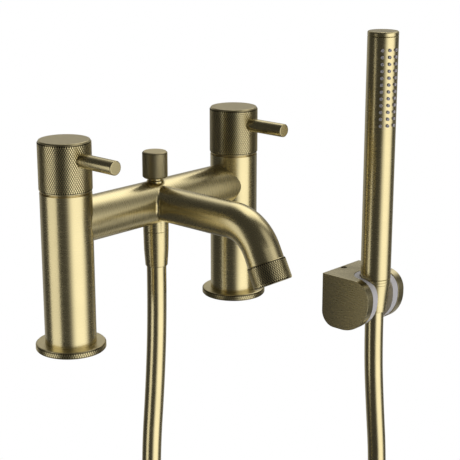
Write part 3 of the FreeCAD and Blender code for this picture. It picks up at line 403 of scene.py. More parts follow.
def make_antique_tone():
    """The colour of antique brass from its lines, cloud, wear and patina."""
    tree, given, result = shader_group(
        "Antique tone",
        [("Lines", "NodeSocketFloat", 0.5), ("Cloud", "NodeSocketFloat", 0.5), ("Worn", "NodeSocketFloat", 0.0),
         ("Patina", "NodeSocketFloat", 0.0), ("Metal", "NodeSocketColor", (*ANTIQUE_METAL, 1)),
         ("Aged", "NodeSocketColor", (*AGED_METAL, 1))],
        [("Colour", "NodeSocketColor")])
    tinted = node(tree, "ShaderNodeMix", data_type="RGBA", blend_type="MULTIPLY")
    tinted.inputs[0].default_value = 1.0
    shade = spread(tree, given.outputs["Lines"], 0.3, 0.7, 0.97, 1.03)
    cloud = spread(tree, given.outputs["Cloud"], 0.3, 0.7, 0.96, 1.04)
    both = node(tree, "ShaderNodeMath", operation="MULTIPLY")
    join(tree, (shade, both.inputs[0]), (cloud, both.inputs[1]), (given.outputs["Metal"], tinted.inputs[6]),
         (both.outputs[0], tinted.inputs[7]))
    aged = mixed_colour(tree, given.outputs["Patina"], tinted.outputs[2], given.outputs["Aged"])
    rubbed = mixed_colour(tree, given.outputs["Worn"], aged, RUBBED_METAL)
    join(tree, (rubbed, result.inputs["Colour"]))
    return tree


BRUSHED_LINES = make_brushed_lines()
EDGE_WEAR = make_edge_wear()
ANTIQUE_TONE = make_antique_tone()


def used(tree, group, **values):
    made = node(tree, "ShaderNodeGroup", node_tree=group)
    for label, value in values.items():
        made.inputs[label].default_value = value
    return made

# ---------------------------------------------------------------- materials

def plain_material(name, metallic=0.0, coat=0.0):
    material = bpy.data.materials.new(name)
    material.use_nodes = True
    shader = material.node_tree.nodes["Principled BSDF"]
    shader.inputs["Metallic"].default_value = metallic
    shader.inputs["Coat Weight"].default_value = coat
    return material, material.node_tree, shader


def bumped(tree, shader, height, distance, strength=1.0):
    bump = node(tree, "ShaderNodeBump")
    bump.inputs["Distance"].default_value = distance
    bump.inputs["Strength"].default_value = strength
    join(tree, (height, bump.inputs["Height"]), (bump.outputs["Normal"], shader.inputs["Normal"]))


def brass(name, stretch, rough, relief=0.0000025, metal=ANTIQUE_METAL, knurl=False, rubbed=0.6, aged=0.3):
    """Antique brass with fine lines across the stretch's long direction, dark in the grooves of a knurl."""
    material, tree, shader = plain_material(name, metallic=1.0)
    lines = used(tree, BRUSHED_LINES, Stretch=stretch)
    wear = used(tree, EDGE_WEAR)
    tone = used(tree, ANTIQUE_TONE, Metal=(*metal, 1))
    join(tree, (lines.outputs["Lines"], tone.inputs["Lines"]), (lines.outputs["Cloud"], tone.inputs["Cloud"]),
         (tone.outputs["Colour"], shader.inputs["Base Color"]))
    if knurl:
        groove = node(tree, "ShaderNodeAttribute", attribute_name="groove")
        join(tree, (spread(tree, groove.outputs["Fac"], 0.0, 0.45, 0.0, 1.0), tone.inputs["Patina"]),
             (spread(tree, groove.outputs["Fac"], 0.1, 0.0, 0.0, 0.15), tone.inputs["Worn"]))
    else:
        join(tree, (spread(tree, wear.outputs["Worn"], 0.0, 1.0, 0.0, rubbed), tone.inputs["Worn"]),
             (spread(tree, wear.outputs["Hollow"], 0.0, 1.0, 0.0, aged), tone.inputs["Patina"]))
    grain = spread(tree, lines.outputs["Lines"], 0.3, 0.7, rough - 0.018, rough + 0.018)
    join(tree, (grain, shader.inputs["Roughness"]))
    bumped(tree, shader, lines.outputs["Lines"], relief)
    return material


def moulded(name, colour, rough, relief=0.00002):
    """Plastic or rubber with a faint moulded grain."""
    material, tree, shader = plain_material(name)
    lines = used(tree, BRUSHED_LINES, Stretch=(1500, 1500, 1500))
    wear = used(tree, EDGE_WEAR)
    light = tuple(min(1, c * 1.25) for c in colour)
    worn = mixed_colour(tree, wear.outputs["Worn"], colour, light)
    dark = tuple(c * 0.82 for c in colour)
    cloudy = mixed_colour(tree, spread(tree, lines.outputs["Cloud"], 0.35, 0.7, 0.0, 0.5), worn, dark)
    join(tree, (cloudy, shader.inputs["Base Color"]),
         (spread(tree, lines.outputs["Lines"], 0.3, 0.7, rough - 0.05, rough + 0.05), shader.inputs["Roughness"]))
    bumped(tree, shader, lines.outputs["Lines"], relief)
    return material


UPRIGHT_BRASS = brass("upright_brass", (60, 60, 1900), 0.26, relief=0.000001, rubbed=0.1, aged=0.0)
BRIDGE_BRASS = brass("bridge_brass", (1900, 60, 60), 0.28, relief=0.000001, rubbed=0.05, aged=0.0)
SPOUT_BRASS = brass("spout_brass", (500, 2600, 2200), 0.27, relief=0.0000008, rubbed=0.05, aged=0.0)
KNURL_BRASS = brass("knurl_brass", (300, 300, 900), 0.30, knurl=True)
KNOB_BRASS = brass("knob_brass", (300, 300, 900), 0.46, metal=(0.50, 0.43, 0.25), knurl=True)
LEVER_BRASS = brass("lever_brass", (70, 1500, 70), 0.25)
# The bracket's brass is a darker copy of the antique brass; its darkness is painted shade for the light the bracket's
# sides miss.
BRACKET_BRASS_PAINTED_SHADE = brass("bracket_brass_painted_shade", (1600, 90, 1600), 0.28, relief=0.000003, metal=(0.355, 0.305, 0.172))
SHINY_BRASS = brass("shiny_brass", (60, 60, 900), 0.14)
INNER_BRASS = brass("inner_brass", (80, 80, 900), 0.35, metal=(0.70, 0.52, 0.22))
HOSE_BRASS = brass("hose_brass", (500, 500, 120), 0.24, relief=0.000004)
GREY_LINER = moulded("grey_liner", (0.66, 0.65, 0.69), 0.36)
GREY_SILICONE = moulded("grey_silicone", (0.52, 0.50, 0.54), 0.45)
WHITE_PLASTIC = moulded("white_plastic", (0.78, 0.78, 0.75), 0.42)
BLACK_RUBBER = moulded("black_rubber", (0.03, 0.03, 0.032), 0.6)
CERAMIC = moulded("ceramic_white", (0.82, 0.80, 0.74), 0.18, relief=0.000005)
STEEL = brass("blackened_steel", (80, 80, 1200), 0.32, metal=(0.30, 0.29, 0.28))

# ---------------------------------------------------------------- CAD nodes kept, with their finish

FINISH = {
    UPRIGHT_BRASS: ["left_pillar", "right_pillar", "handset_body", "shower_outlet"],
    BRIDGE_BRASS: ["bridge_tube"],
    SPOUT_BRASS: ["spout_tube"],
    BRACKET_BRASS_PAINTED_SHADE: ["wall_plate"],
    INNER_BRASS: ["left_cartridge_body", "right_cartridge_body", "left_spindle", "right_spindle", "diverter_cage",
                  "diverter_stem", "lower_hose_insert", "upper_hose_insert", "handset_connector"],
    WHITE_PLASTIC: ["left_check_valve", "right_check_valve", "aerator_insert", "diverter_plunger"],
    BLACK_RUBBER: ["left_deck_seal", "right_deck_seal", "left_cartridge_seal", "right_cartridge_seal",
                   "aerator_seal", "diverter_lower_seal", "diverter_upper_seal", "outlet_washer",
                   "handset_washer"],
    CERAMIC: ["left_lower_disc", "right_lower_disc", "left_upper_disc", "right_upper_disc"],
    STEEL: ["left_handle_screw", "right_handle_screw", "bracket_grub_screw"],
}
for finish, names in FINISH.items():
    for name in names:
        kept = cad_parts[name]
        kept.data.materials.clear()
        kept.data.materials.append(finish)

hose.data.materials.append(HOSE_BRASS)

# ---------------------------------------------------------------- handles, levers, flanges and knob

def make_handle(side):
    name = side + "_handle"
    centre, radius, z0, z1 = node_size(name)
    cavity_r, cavity_top, rim, depth = radius - 2.4 * MM, z0 + 8.8 * MM, 1.2 * MM, 0.4 * MM
    inner = radius - depth
    below = softened([(0, cavity_top), (cavity_r, cavity_top), (cavity_r, z0), (inner - 0.5 * MM, z0),
                      (inner, z0 + 0.5 * MM), (inner, z0 + 0.9 * MM)], 0.25 * MM, False)
    above = softened([(inner, z1 - rim), (radius - 1.1 * MM, z1), (0, z1)], 0.3 * MM, False)
    seat = Matrix.Translation(centre)
    mesh = knurled_turning(below, (radius, z0 + 0.9 * MM, z1 - rim - 0.1 * MM, 72, depth), above, seat)
    return place(name + "_knurled", mesh, side + "_valve", "brushed_brass", KNURL_BRASS, [name], sharp=25)


def make_lever(side):
    name = side + "_lever"
    low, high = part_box(name)
    radius = (high.x - low.x) / 2
    length = high.y - low.y
    stud_r, stud, edge = 4.0 * MM, 10 * MM, 0.5 * MM
    outline = softened([(0, 0), (radius - edge, 0), (radius, edge), (radius, length - stud),
                        (stud_r, length - stud), (stud_r, length), (0, length)], 0.2 * MM, False)
    mesh = bmesh.new()
    seat = pointing(Vector(((low.x + high.x) / 2, low.y, (low.z + high.z) / 2)), (0, 1, 0))
    turned(mesh, outline, 72, False, seat)
    return place(name + "_pin", mesh, side + "_valve", "polished_brass", LEVER_BRASS, [name])


def make_flange(side):
    name = side + "_base_flange"
    centre, radius, z0, z1 = node_size(name)
    bore, depth = 19.25 * MM, 0.4 * MM
    inner = radius - depth
    below = softened([(bore, z0), (inner - 0.4 * MM, z0), (inner, z0 + 0.4 * MM)], 0.2 * MM, False)
    above = softened([(inner, z1 - 0.5 * MM), (inner - 0.5 * MM, z1), (bore, z1)], 0.3 * MM, False)
    mesh = knurled_turning(below, (radius, z0 + 0.45 * MM, z1 - 0.5 * MM, 92, depth), above,
                           Matrix.Translation(centre))
    return place(name + "_knurled", mesh, "mixer", "brushed_brass", KNURL_BRASS, [name], sharp=25)


def make_knob():
    centre, radius, z0, z1 = node_size("diverter_knob")
    bore, cavity_top, edge, depth = 7.1 * MM, z0 + 2.4 * MM, 0.8 * MM, 0.3 * MM
    inner = radius - depth
    below = softened([(0, cavity_top), (bore, cavity_top), (bore, z0), (inner - edge, z0), (inner, z0 + edge)],
                     0.25 * MM, False)
    above = softened([(inner, z1 - edge), (inner - edge, z1), (0, z1)], 0.3 * MM, False)
    mesh = knurled_turning(below, (radius, z0 + 1.05 * edge, z1 - 1.05 * edge, 50, depth), above,
                           Matrix.Translation(centre))
    return place("diverter_knob_knurled", mesh, "diverter", "brushed_brass", KNOB_BRASS, ["diverter_knob"],
                 sharp=25)


def make_bush():
    """The shiny guide nut under the knob, with a waist that catches the light."""
    centre, radius, z0, z1 = node_size("diverter_bush")
    bore = 3.05 * MM
    outline = softened([(bore, z0), (5.9 * MM, z0), (5.9 * MM, z1 - 5.5 * MM), (radius, z1 - 5.5 * MM),
                        (radius, z1 - 4.0 * MM), (radius - 0.9 * MM, z1 - 3.2 * MM),
                        (radius - 0.9 * MM, z1 - 1.0 * MM), (radius - 1.2 * MM, z1), (bore, z1)], 0.3 * MM)
    mesh = bmesh.new()
    turned(mesh, outline, 72, True, Matrix.Translation(centre))
    return place("diverter_bush_nut", mesh, "mixer", "polished_brass", SHINY_BRASS, ["diverter_bush"])


def make_spring():
    """The diverter's return spring, wound from wire."""
    low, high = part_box("diverter_spring")
    wire, turns, sides = 0.4 * MM, 5, 10
    coil_r, rise = high.x - wire, high.z - low.z - 2 * wire
    mesh = bmesh.new()
    rings = []
    for k in range(36 * turns + 1):
        angle = 2 * math.pi * k / 36
        out = Vector((math.cos(angle), math.sin(angle), 0))
        along = Vector((-out.y * coil_r, out.x * coil_r, rise / (2 * math.pi * turns))).normalized()
        middle = out * coil_r + UP * (low.z + wire + rise * k / (36 * turns))
        side = along.cross(out)
        rings.append([mesh.verts.new(middle + (out * math.cos(a) + side * math.sin(a)) * wire)
                      for a in (2 * math.pi * j / sides for j in range(sides))])
    for one, other in zip(rings, rings[1:]):
        band(mesh, one, other)
    mesh.faces.new(rings[0])
    mesh.faces.new(rings[-1][::-1])
    spring = place("diverter_spring_wound", mesh, "mixer", "steel", STEEL, ["diverter_spring"])
    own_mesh(spring)
    return spring


for side in ("left", "right"):
    make_handle(side)
    make_lever(side)
    make_flange(side)
make_knob()
make_bush()
make_spring()

# ---------------------------------------------------------------- spout's fillet and aerator

BRIDGE_R = 16.8 * MM
BRIDGE_Z = 95.9 * MM
SPOUT_R = 13.8 * MM
FILLET_R = 2.6 * MM


def make_spout_fillet():
    """The rounded bead where the spout meets the bridge."""
    mesh = bmesh.new()
    steps, arc_steps = 160, 8
    sections = []
    for k in range(steps):
        angle = 2 * math.pi * k / steps
        ball_r = SPOUT_R + FILLET_R
        x, z = ball_r * math.sin(angle), ball_r * math.cos(angle)
        y = -math.sqrt((BRIDGE_R + FILLET_R) ** 2 - z ** 2)
        ball = Vector((x, y, z))
        on_spout = Vector((SPOUT_R * math.sin(angle), y, SPOUT_R * math.cos(angle)))
        share = BRIDGE_R / (BRIDGE_R + FILLET_R)
        on_bridge = Vector((x, y * share, z * share))
        corner_z = SPOUT_R * math.cos(angle)
        corner = Vector((SPOUT_R * math.sin(angle), -math.sqrt(BRIDGE_R ** 2 - corner_z ** 2), corner_z)) * 0.985
        ring = []
        for j in range(arc_steps + 1):
            way = (on_spout - ball).slerp(on_bridge - ball, j / arc_steps).normalized() * FILLET_R
            ring.append(mesh.verts.new(ball + way + Vector((0, 0, BRIDGE_Z))))
        ring.append(mesh.verts.new(corner + Vector((0, 0, BRIDGE_Z))))
        sections.append(ring)
    for k in range(steps):
        a, b = sections[k], sections[(k + 1) % steps]
        for j in range(arc_steps + 2):
            n = (j + 1) % (arc_steps + 2)
            face = mesh.faces.new((a[j], a[n], b[n], b[j]))
            face.smooth = True
    return place("spout_fillet", mesh, "mixer", "brushed_brass", SPOUT_BRASS)


def spout_end():
    """The end of the spout's tail and the way it points."""
    turn = math.radians(63.5)
    bend_r, straight, tail = 32 * MM, 81.5 * MM, 9.1 * MM
    way = Vector((0, -math.cos(turn), -math.sin(turn)))
    bend = Vector((0, -straight, BRIDGE_Z - bend_r)) + Vector((0, -math.sin(turn), math.cos(turn))) * bend_r
    return bend + way * tail, way


def make_aerator_ring():
    end, way = spout_end()
    radius, depth = 14.7 * MM, 0.4 * MM
    z0, z1 = 0.1 * MM, 16.5 * MM
    inner, thread, mouth = radius - depth, 12.65 * MM, 11.0 * MM
    below = softened([(mouth, z1 - 1.2 * MM), (thread, z1 - 1.2 * MM), (thread, z0), (inner - 0.4 * MM, z0),
                      (inner, z0 + 0.4 * MM)], 0.2 * MM, False)
    above = softened([(inner, z1 - 0.5 * MM), (inner - 0.5 * MM, z1), (mouth + 0.3 * MM, z1),
                      (mouth, z1 - 0.4 * MM)], 0.2 * MM, False)
    mesh = knurled_turning(below, (radius, z0 + 0.45 * MM, z1 - 0.5 * MM, 56, depth), above, pointing(end, way))
    return place("aerator_ring_knurled", mesh, "mixer", "brushed_brass", KNURL_BRASS, ["aerator_ring"], sharp=25)


make_spout_fillet()
make_aerator_ring()

# ---------------------------------------------------------------- hose nuts

def make_lower_nut():
    centre, radius, z0, z1 = node_size("lower_hose_nut")
    outline = softened([(6.25 * MM, z0), (8.5 * MM, z0), (8.75 * MM, z0 + 0.4 * MM),
                        (9.65 * MM, z1 - 15.85 * MM), (radius, z1 - 0.25 * MM), (radius - 0.12 * MM, z1),
                        (8.4 * MM, z1), (8.4 * MM, z0 + 15.0 * MM), (6.25 * MM, z0 + 14.0 * MM)], 0.2 * MM)
    mesh = bmesh.new()
    turned(mesh, outline, 112, True, Matrix.Translation(centre))
    return place("lower_hose_nut_turned", mesh, "mixer", "brushed_brass", UPRIGHT_BRASS, ["lower_hose_nut"])


def make_upper_nut():
    """The cone nut with two fine rings cut near its top."""
    centre, radius, z0, z1 = node_size("upper_hose_nut")
    cut, band_z = 0.14 * MM, z1 - 4.8 * MM

    def cone(z):
        return (9.5 + (12.25 - 9.5) * (z - z0) / (band_z - z0)) * MM

    outline = [(6.6 * MM, z0), (9.3 * MM, z0), (9.5 * MM, z0 + 0.3 * MM)]
    for ring_z in (band_z, z1 - 2.4 * MM):
        r = cone(ring_z) if ring_z == band_z else 12.33 * MM
        outline += [(r, ring_z - 0.25 * MM), (r - cut, ring_z - 0.1 * MM), (r - cut, ring_z + 0.1 * MM),
                    (r, ring_z + 0.25 * MM)]
    outline += [(radius, z1 - 0.25 * MM), (radius - 0.3 * MM, z1), (10.5 * MM, z1), (10.5 * MM, z0 + 15.7 * MM),
                (6.6 * MM, z0 + 12.0 * MM)]
    mesh = bmesh.new()
    turned(mesh, softened(outline, 0.12 * MM), 128, True, Matrix.Translation(centre))
    return place("cone_nut_turned", mesh, "handset", "brushed_brass", UPRIGHT_BRASS, ["upper_hose_nut"])


def make_cap():
    centre, radius, z0, z1 = node_size("handset_cap")
    joint = z1 - 3.7 * MM
    outline = softened([(0, joint - 1 * MM), (9 * MM, joint - 1 * MM), (9 * MM, z0), (10.95 * MM, z0),
                        (10.95 * MM, joint), (radius - 0.3 * MM, joint), (radius, joint + 0.3 * MM),
                        (radius, z1 - 0.7 * MM), (radius - 0.7 * MM, z1), (0, z1)], 0.25 * MM, False)
    mesh = bmesh.new()
    turned(mesh, outline, 112, False, Matrix.Translation(centre))
    return place("handset_cap_turned", mesh, "handset", "brushed_brass", UPRIGHT_BRASS, ["handset_cap"])


lower_nut = make_lower_nut()
cone_nut = make_upper_nut()
make_cap()

# ---------------------------------------------------------------- handset's nozzles

def make_nozzles():
    """A curved silicone strip with rows of soft nozzles, each with a dished mouth."""
    mesh = bmesh.new()
    low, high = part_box("handset_nozzles")
    axis = Vector((HANDSET_X, HANDSET_Y, 0))
    outer, inner = 10.95 * MM, 9.75 * MM
    facing, half, steps = -28.0, 38.0, 24
    walls = []
    for k in range(steps + 1):
        angle = math.radians(facing - half + 2 * half * k / steps)
        way = Vector((math.sin(angle), -math.cos(angle), 0))
        walls.append([mesh.verts.new(axis + way * r + UP * z) for r, z in
                      ((inner, low.z), (outer, low.z), (outer, high.z), (inner, high.z))])
    for a, b in zip(walls, walls[1:]):
        for j in range(4):
            mesh.faces.new((a[j], a[(j + 1) % 4], b[(j + 1) % 4], b[j]))
    mesh.faces.new(walls[0])
    mesh.faces.new(walls[-1][::-1])
    root, tip = 10.6 * MM, 13.9 * MM
    bulb = softened([(0, 0), (1.3 * MM, 0), (1.3 * MM, tip - root - 0.25 * MM), (1.15 * MM, tip - root),
                     (0.75 * MM, tip - root), (0.4 * MM, tip - root - 0.5 * MM), (0, tip - root - 0.5 * MM)],
                    0.12 * MM, False)
    for column in (-1, 0, 1):
        angle = math.radians(facing + 26.5 * column)
        way = Vector((math.sin(angle), -math.cos(angle), 0))
        for row in range(12):
            at = axis + way * root + UP * (208.3 * MM - 5.45 * MM * row)
            turned(mesh, bulb, 20, False, pointing(at, way))
    return place("handset_nozzle_strip", mesh, "handset", "grey_silicone", GREY_SILICONE, ["handset_nozzles"])


make_nozzles()

# ---------------------------------------------------------------- wall bracket

def bracket_outline(inset=0.0):
    """The bracket's side outline as (y, z) points: flat back and top, round front and bottom."""
    back, depth, top, height = -62.7, 47.5, 20.1, 45.1
    front, top, bottom = back - depth + inset, top - inset, top - height + inset
    corners = [(back, top, 0), (front, top, 15 - inset), (front, bottom, 27 - inset), (back, bottom, 12.5)]
    points = []
    for k, (y, z, r) in enumerate(corners):
        if r == 0:
            points.append((y, z))
            continue
        side = 1 if y < back - 1 else -1
        rise = -1 if z > 0 else 1
        start = {1: 90, 2: 180, 3: 270}[k]
        for step in range(19):
            angle = math.radians(start + 90 * step / 18)
            points.append((y + side * r + r * math.cos(angle), z + rise * r + r * math.sin(angle)))
    return [(y * MM, z * MM) for y, z in points]


def block_between(first, last):
    """A closed block between two outlines that have as many points each."""
    mesh = bmesh.new()
    near = [mesh.verts.new(point) for point in first]
    far = [mesh.verts.new(point) for point in last]
    mesh.faces.new(near)
    mesh.faces.new(far[::-1])
    for k in range(len(near)):
        n = (k + 1) % len(near)
        mesh.faces.new((near[k], far[k], far[n], near[n]))
    bmesh.ops.recalc_face_normals(mesh, faces=mesh.faces)
    return mesh


def prism(outline, x0, x1):
    return block_between([(x0, y, z) for y, z in outline], [(x1, y, z) for y, z in outline])


def slot_outline(half):
    """The slot seen from above, round at the back and open at the front."""
    points = [(half, -0.13), (half, HANDSET_Y)]
    for step in range(1, 32):
        angle = math.pi * step / 32
        points.append((half * math.cos(angle), HANDSET_Y + half * math.sin(angle)))
    return points + [(-half, HANDSET_Y), (-half, -0.13)]


def upright_cutter(half, z0, z1):
    outline = slot_outline(half)
    return block_between([(HANDSET_X + x, y, z0) for x, y in outline], [(HANDSET_X + x, y, z1) for x, y in outline])


def carved(name, block, cutters, edge, body, material, nodes):
    """A block with its cutters taken out or kept, and its edges rounded."""
    piece = as_object(name, block)
    helpers = []
    for cutter, operation in cutters:
        helper = as_object(name + "_cutter", cutter)
        step = piece.modifiers.new("carve", "BOOLEAN")
        step.object, step.operation, step.solver = helper, operation, "EXACT"
        helpers.append(helper)
    rounding = piece.modifiers.new("rounded_edges", "BEVEL")
    rounding.width, rounding.segments, rounding.limit_method = edge, 3, "ANGLE"
    rounding.angle_limit = math.radians(35)
    finished = finished_mesh(piece)
    piece.modifiers.clear()
    piece.data = finished
    for helper in helpers:
        bpy.data.objects.remove(helper)
    smooth(finished)
    with_flat_faces(piece, 32)
    piece.data.materials.clear()
    piece.data.materials.append(material)
    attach(piece, body)
    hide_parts(*nodes)
    return piece


BRACKET_X = (HANDSET_X - 25 * MM, HANDSET_X + 25 * MM)
CUTTER_REACH = 50 * MM


def make_bracket():
    grub_r, grub_y, grub_z0, grub_z1 = 2.55 * MM, -65.7 * MM, -4 * MM, 30 * MM
    grub = bmesh.new()
    turned(grub, [(0, grub_z0), (grub_r, grub_z0), (grub_r, grub_z1), (0, grub_z1)], 32, False,
           Matrix.Translation((HANDSET_X, grub_y, 0)))
    plate_half, back, front, top, bottom = 16.05 * MM, -62.0 * MM, -68.75 * MM, 10.1 * MM, -18 * MM
    plate = prism([(back, top), (front, top), (front, bottom), (back, bottom)],
                  HANDSET_X - plate_half, HANDSET_X + plate_half)
    cutters = [(upright_cutter(17.7 * MM, -CUTTER_REACH, CUTTER_REACH), "DIFFERENCE"), (plate, "DIFFERENCE"),
               (grub, "DIFFERENCE")]
    carved("bracket_body_rounded", prism(bracket_outline(), *BRACKET_X), cutters, 0.55 * MM, "mixer",
           BRACKET_BRASS_PAINTED_SHADE, ["bracket_body"])


def make_liner():
    cone = bmesh.new()
    z0, z1 = -0.03, 0.03
    radii = [(9.5 + (12.25 - 9.5) * (z / MM + 10.2) / 24.15 + 0.3) * MM for z in (z0, z1)]
    turned(cone, [(0, z0), (radii[0], z0), (radii[1], z1), (0, z1)], 96, False,
           Matrix.Translation((HANDSET_X, HANDSET_Y, 0)))
    bmesh.ops.recalc_face_normals(cone, faces=cone.faces)
    cutters = [(upright_cutter(17.65 * MM, -CUTTER_REACH, CUTTER_REACH), "INTERSECT"),
               (upright_cutter(10.7 * MM, -0.06, 0.06), "DIFFERENCE"), (cone, "DIFFERENCE")]
    carved("bracket_liner_rounded", prism(bracket_outline(0.6), *BRACKET_X), cutters, 0.5 * MM, "mixer",
           GREY_LINER, ["bracket_liner"])


make_bracket()
make_liner()

# ---------------------------------------------------------------- hose tie

def make_tie():
    """A soft strap round the two strands at the bottom of the coil."""
    mesh = bmesh.new()
    centre = HOSE_WAY * (LEG_GAP / 2) + UP * (COIL_Z - LEG_GAP / 2)
    inner, thick, width = HOSE_R + 0.05 * MM, 1.4 * MM, 6.6 * MM
    rings = []
    for k in range(48):
        angle = 2 * math.pi * k / 48
        c, s = math.cos(angle), math.sin(angle)
        shift = HOSE_R if c > 1e-6 else -HOSE_R
        ring = []
        for along, out in ((-width, 0.3), (-width + 0.4 * MM, 0), (width - 0.4 * MM, 0), (width, 0.3),
                           (width, 0.75), (width - 0.5 * MM, 1), (-width + 0.5 * MM, 1), (-width, 0.75)):
            r = inner + thick * out
            point = centre + HOSE_ASIDE * (shift + r * c) + UP * (r * s) + HOSE_WAY * along
            ring.append(mesh.verts.new(point))
        rings.append(ring)
    for a, b in zip(rings, rings[1:] + rings[:1]):
        for j in range(8):
            face = mesh.faces.new((a[j], a[(j + 1) % 8], b[(j + 1) % 8], b[j]))
            face.smooth = True
    return place("hose_tie_strap", mesh, "mixer", "black_rubber", BLACK_RUBBER, ["hose_tie"])


tie = make_tie()
hose_points()[0]

# ---------------------------------------------------------------- studio

def make_softbox_group():
    """A soft-edged patch of light on the studio's dome, by its turn and height in degrees."""
    tree, given, result = shader_group(
        "Softbox", [("Turn", "NodeSocketFloat", 0.0), ("Height", "NodeSocketFloat", 0.0),
                    ("Centre turn", "NodeSocketFloat", 0.0), ("Half width", "NodeSocketFloat", 30.0),
                    ("Centre height", "NodeSocketFloat", 0.0), ("Half height", "NodeSocketFloat", 30.0),
                    ("Side edge", "NodeSocketFloat", 15.0), ("Level edge", "NodeSocketFloat", 10.0)],
        [("Light", "NodeSocketFloat")])
    faded = []
    for value, middle, half, edge in (("Turn", "Centre turn", "Half width", "Side edge"),
                                      ("Height", "Centre height", "Half height", "Level edge")):
        off = node(tree, "ShaderNodeMath", operation="SUBTRACT")
        far = node(tree, "ShaderNodeMath", operation="ABSOLUTE")
        start = node(tree, "ShaderNodeMath", operation="SUBTRACT")
        end = node(tree, "ShaderNodeMath", operation="ADD")
        fade = node(tree, "ShaderNodeMapRange", interpolation_type="SMOOTHSTEP")
        fade.inputs["To Min"].default_value = 1.0
        fade.inputs["To Max"].default_value = 0.0
        join(tree, (given.outputs[value], off.inputs[0]), (given.outputs[middle], off.inputs[1]),
             (off.outputs[0], far.inputs[0]), (given.outputs[half], start.inputs[0]),
             (given.outputs[edge], start.inputs[1]), (given.outputs[half], end.inputs[0]),
             (given.outputs[edge], end.inputs[1]), (far.outputs[0], fade.inputs["Value"]),
             (start.outputs[0], fade.inputs["From Min"]), (end.outputs[0], fade.inputs["From Max"]))
        faded.append(fade.outputs["Result"])
    both = node(tree, "ShaderNodeMath", operation="MULTIPLY")
    join(tree, (faded[0], both.inputs[0]), (faded[1], both.inputs[1]), (both.outputs[0], result.inputs["Light"]))
    return tree


STUDIO_WHITE = (1.0, 0.985, 0.95)
DOME_GLOW = 0.055
PASSES_BEHIND = 160
SOFTBOXES = [
    # strength, centre turn, half width, centre height, half height, side edge, level edge
    (1.55, 53, 33, -12, 34, 16, 10),
    (1.70, 160, 38, 58, 27, 24, 9),
    (0.24, 180, 50, 5, 40, 14, 14),
    (0.12, -145, 22, -10, 25, 14, 12),
    (0.45, 145, 25, -52, 16, 14, 10),
    (0.60, 72, 22, 40, 18, 12, 10),
]


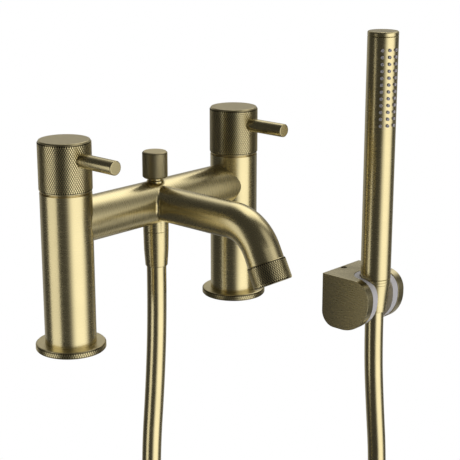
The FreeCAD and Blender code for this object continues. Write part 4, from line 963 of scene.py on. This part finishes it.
def make_studio_light():
    """A dim dome with soft boxes on it, and a plain white background."""
    world = bpy.data.worlds.new("studio")
    bpy.context.scene.world = world
    world.use_nodes = True
    tree = world.node_tree
    tree.nodes.clear()
    softbox = make_softbox_group()
    sky = node(tree, "ShaderNodeTexCoord")
    parts = node(tree, "ShaderNodeSeparateXYZ")
    facing = node(tree, "ShaderNodeVectorRotate", rotation_type="Z_AXIS")
    facing.inputs["Angle"].default_value = -math.atan2(BACK.y, BACK.x)
    turn = node(tree, "ShaderNodeMath", operation="ARCTAN2")
    turn_degrees = node(tree, "ShaderNodeMath", operation="DEGREES")
    height = node(tree, "ShaderNodeMath", operation="ARCSINE")
    height_degrees = node(tree, "ShaderNodeMath", operation="DEGREES")
    join(tree, (sky.outputs["Generated"], facing.inputs["Vector"]), (facing.outputs["Vector"], parts.inputs[0]),
         (parts.outputs["Y"], turn.inputs[0]), (parts.outputs["X"], turn.inputs[1]),
         (turn.outputs[0], turn_degrees.inputs[0]), (parts.outputs["Z"], height.inputs[0]),
         (height.outputs[0], height_degrees.inputs[0]))
    total = None
    for strength, centre_turn, half_width, *rest in SOFTBOXES:
        passes_behind = abs(centre_turn) + half_width > PASSES_BEHIND
        for wrapped in (0, -math.copysign(360, centre_turn)) if passes_behind else (0,):
            box = used(tree, softbox)
            for socket, value in zip(list(box.inputs)[2:], (centre_turn + wrapped, half_width, *rest)):
                socket.default_value = value
            scaled = node(tree, "ShaderNodeMath", operation="MULTIPLY_ADD")
            scaled.inputs[1].default_value = strength
            scaled.inputs[2].default_value = DOME_GLOW
            join(tree, (turn_degrees.outputs[0], box.inputs["Turn"]),
                 (height_degrees.outputs[0], box.inputs["Height"]), (box.outputs["Light"], scaled.inputs[0]))
            if total is not None:
                join(tree, (total, scaled.inputs[2]))
            total = scaled.outputs[0]
    dome = node(tree, "ShaderNodeBackground")
    dome.inputs["Color"].default_value = (*STUDIO_WHITE, 1)
    white = node(tree, "ShaderNodeBackground")
    white.inputs["Color"].default_value = (1, 1, 1, 1)
    path = node(tree, "ShaderNodeLightPath")
    mix = node(tree, "ShaderNodeMixShader")
    out = node(tree, "ShaderNodeOutputWorld")
    join(tree, (total, dome.inputs["Strength"]), (path.outputs["Is Camera Ray"], mix.inputs[0]),
         (dome.outputs[0], mix.inputs[1]), (white.outputs[0], mix.inputs[2]), (mix.outputs[0], out.inputs["Surface"]))
    bpy.context.scene.view_settings.view_transform = "Standard"


PANEL_WIDTH, PANEL_HEIGHT = 0.097, 0.45
PANEL_AT = Vector((-0.2079, 0.0251, -0.06))
PANEL_BRIGHTNESS = 1.1


def make_side_panel():
    """A narrow upright soft panel close to the left pillar."""
    light = bpy.data.lights.new("side_panel", "AREA")
    light.shape = "RECTANGLE"
    light.size, light.size_y = PANEL_WIDTH, PANEL_HEIGHT
    light.energy = PANEL_BRIGHTNESS * math.pi * light.size * light.size_y
    light.color = STUDIO_WHITE
    panel = bpy.data.objects.new("side_panel", light)
    across = Vector((-0.212, -0.977, 0)).normalized()
    turn = Matrix((across, UP, across.cross(UP))).transposed().to_4x4()
    panel.matrix_world = Matrix.Translation(PANEL_AT) @ turn
    panel.visible_camera = False
    bpy.context.scene.collection.objects.link(panel)


def make_floor():
    """A plain pale floor below the hose, with a painted shadow where something stands close to it."""
    mesh = bmesh.new()
    bmesh.ops.create_grid(mesh, x_segments=2, y_segments=2, size=14.0)
    floor = as_object("studio_floor", mesh)
    floor.location.z = cad_box[0][2] - 0.0005
    material = bpy.data.materials.new("pale_floor_painted_shadow")
    material.use_nodes = True
    tree = material.node_tree
    tree.nodes.clear()
    # ambient occlusion darkens the glowing floor near objects: a painted contact shadow
    near = node(tree, "ShaderNodeAmbientOcclusion")
    near.inputs["Distance"].default_value = 0.12
    glow = node(tree, "ShaderNodeEmission")
    out = node(tree, "ShaderNodeOutputMaterial")
    join(tree, (mixed_colour(tree, near.outputs["AO"], (0.45, 0.45, 0.45), (1.0, 1.0, 1.0)), glow.inputs["Color"]),
         (glow.outputs[0], out.inputs["Surface"]))
    floor.data.materials.append(material)
    floor.visible_glossy = False
    floor.visible_diffuse = False
    floor.visible_shadow = False


make_studio_light()
make_side_panel()
make_floor()

# ---------------------------------------------------------------- last update

bpy.context.view_layer.update()
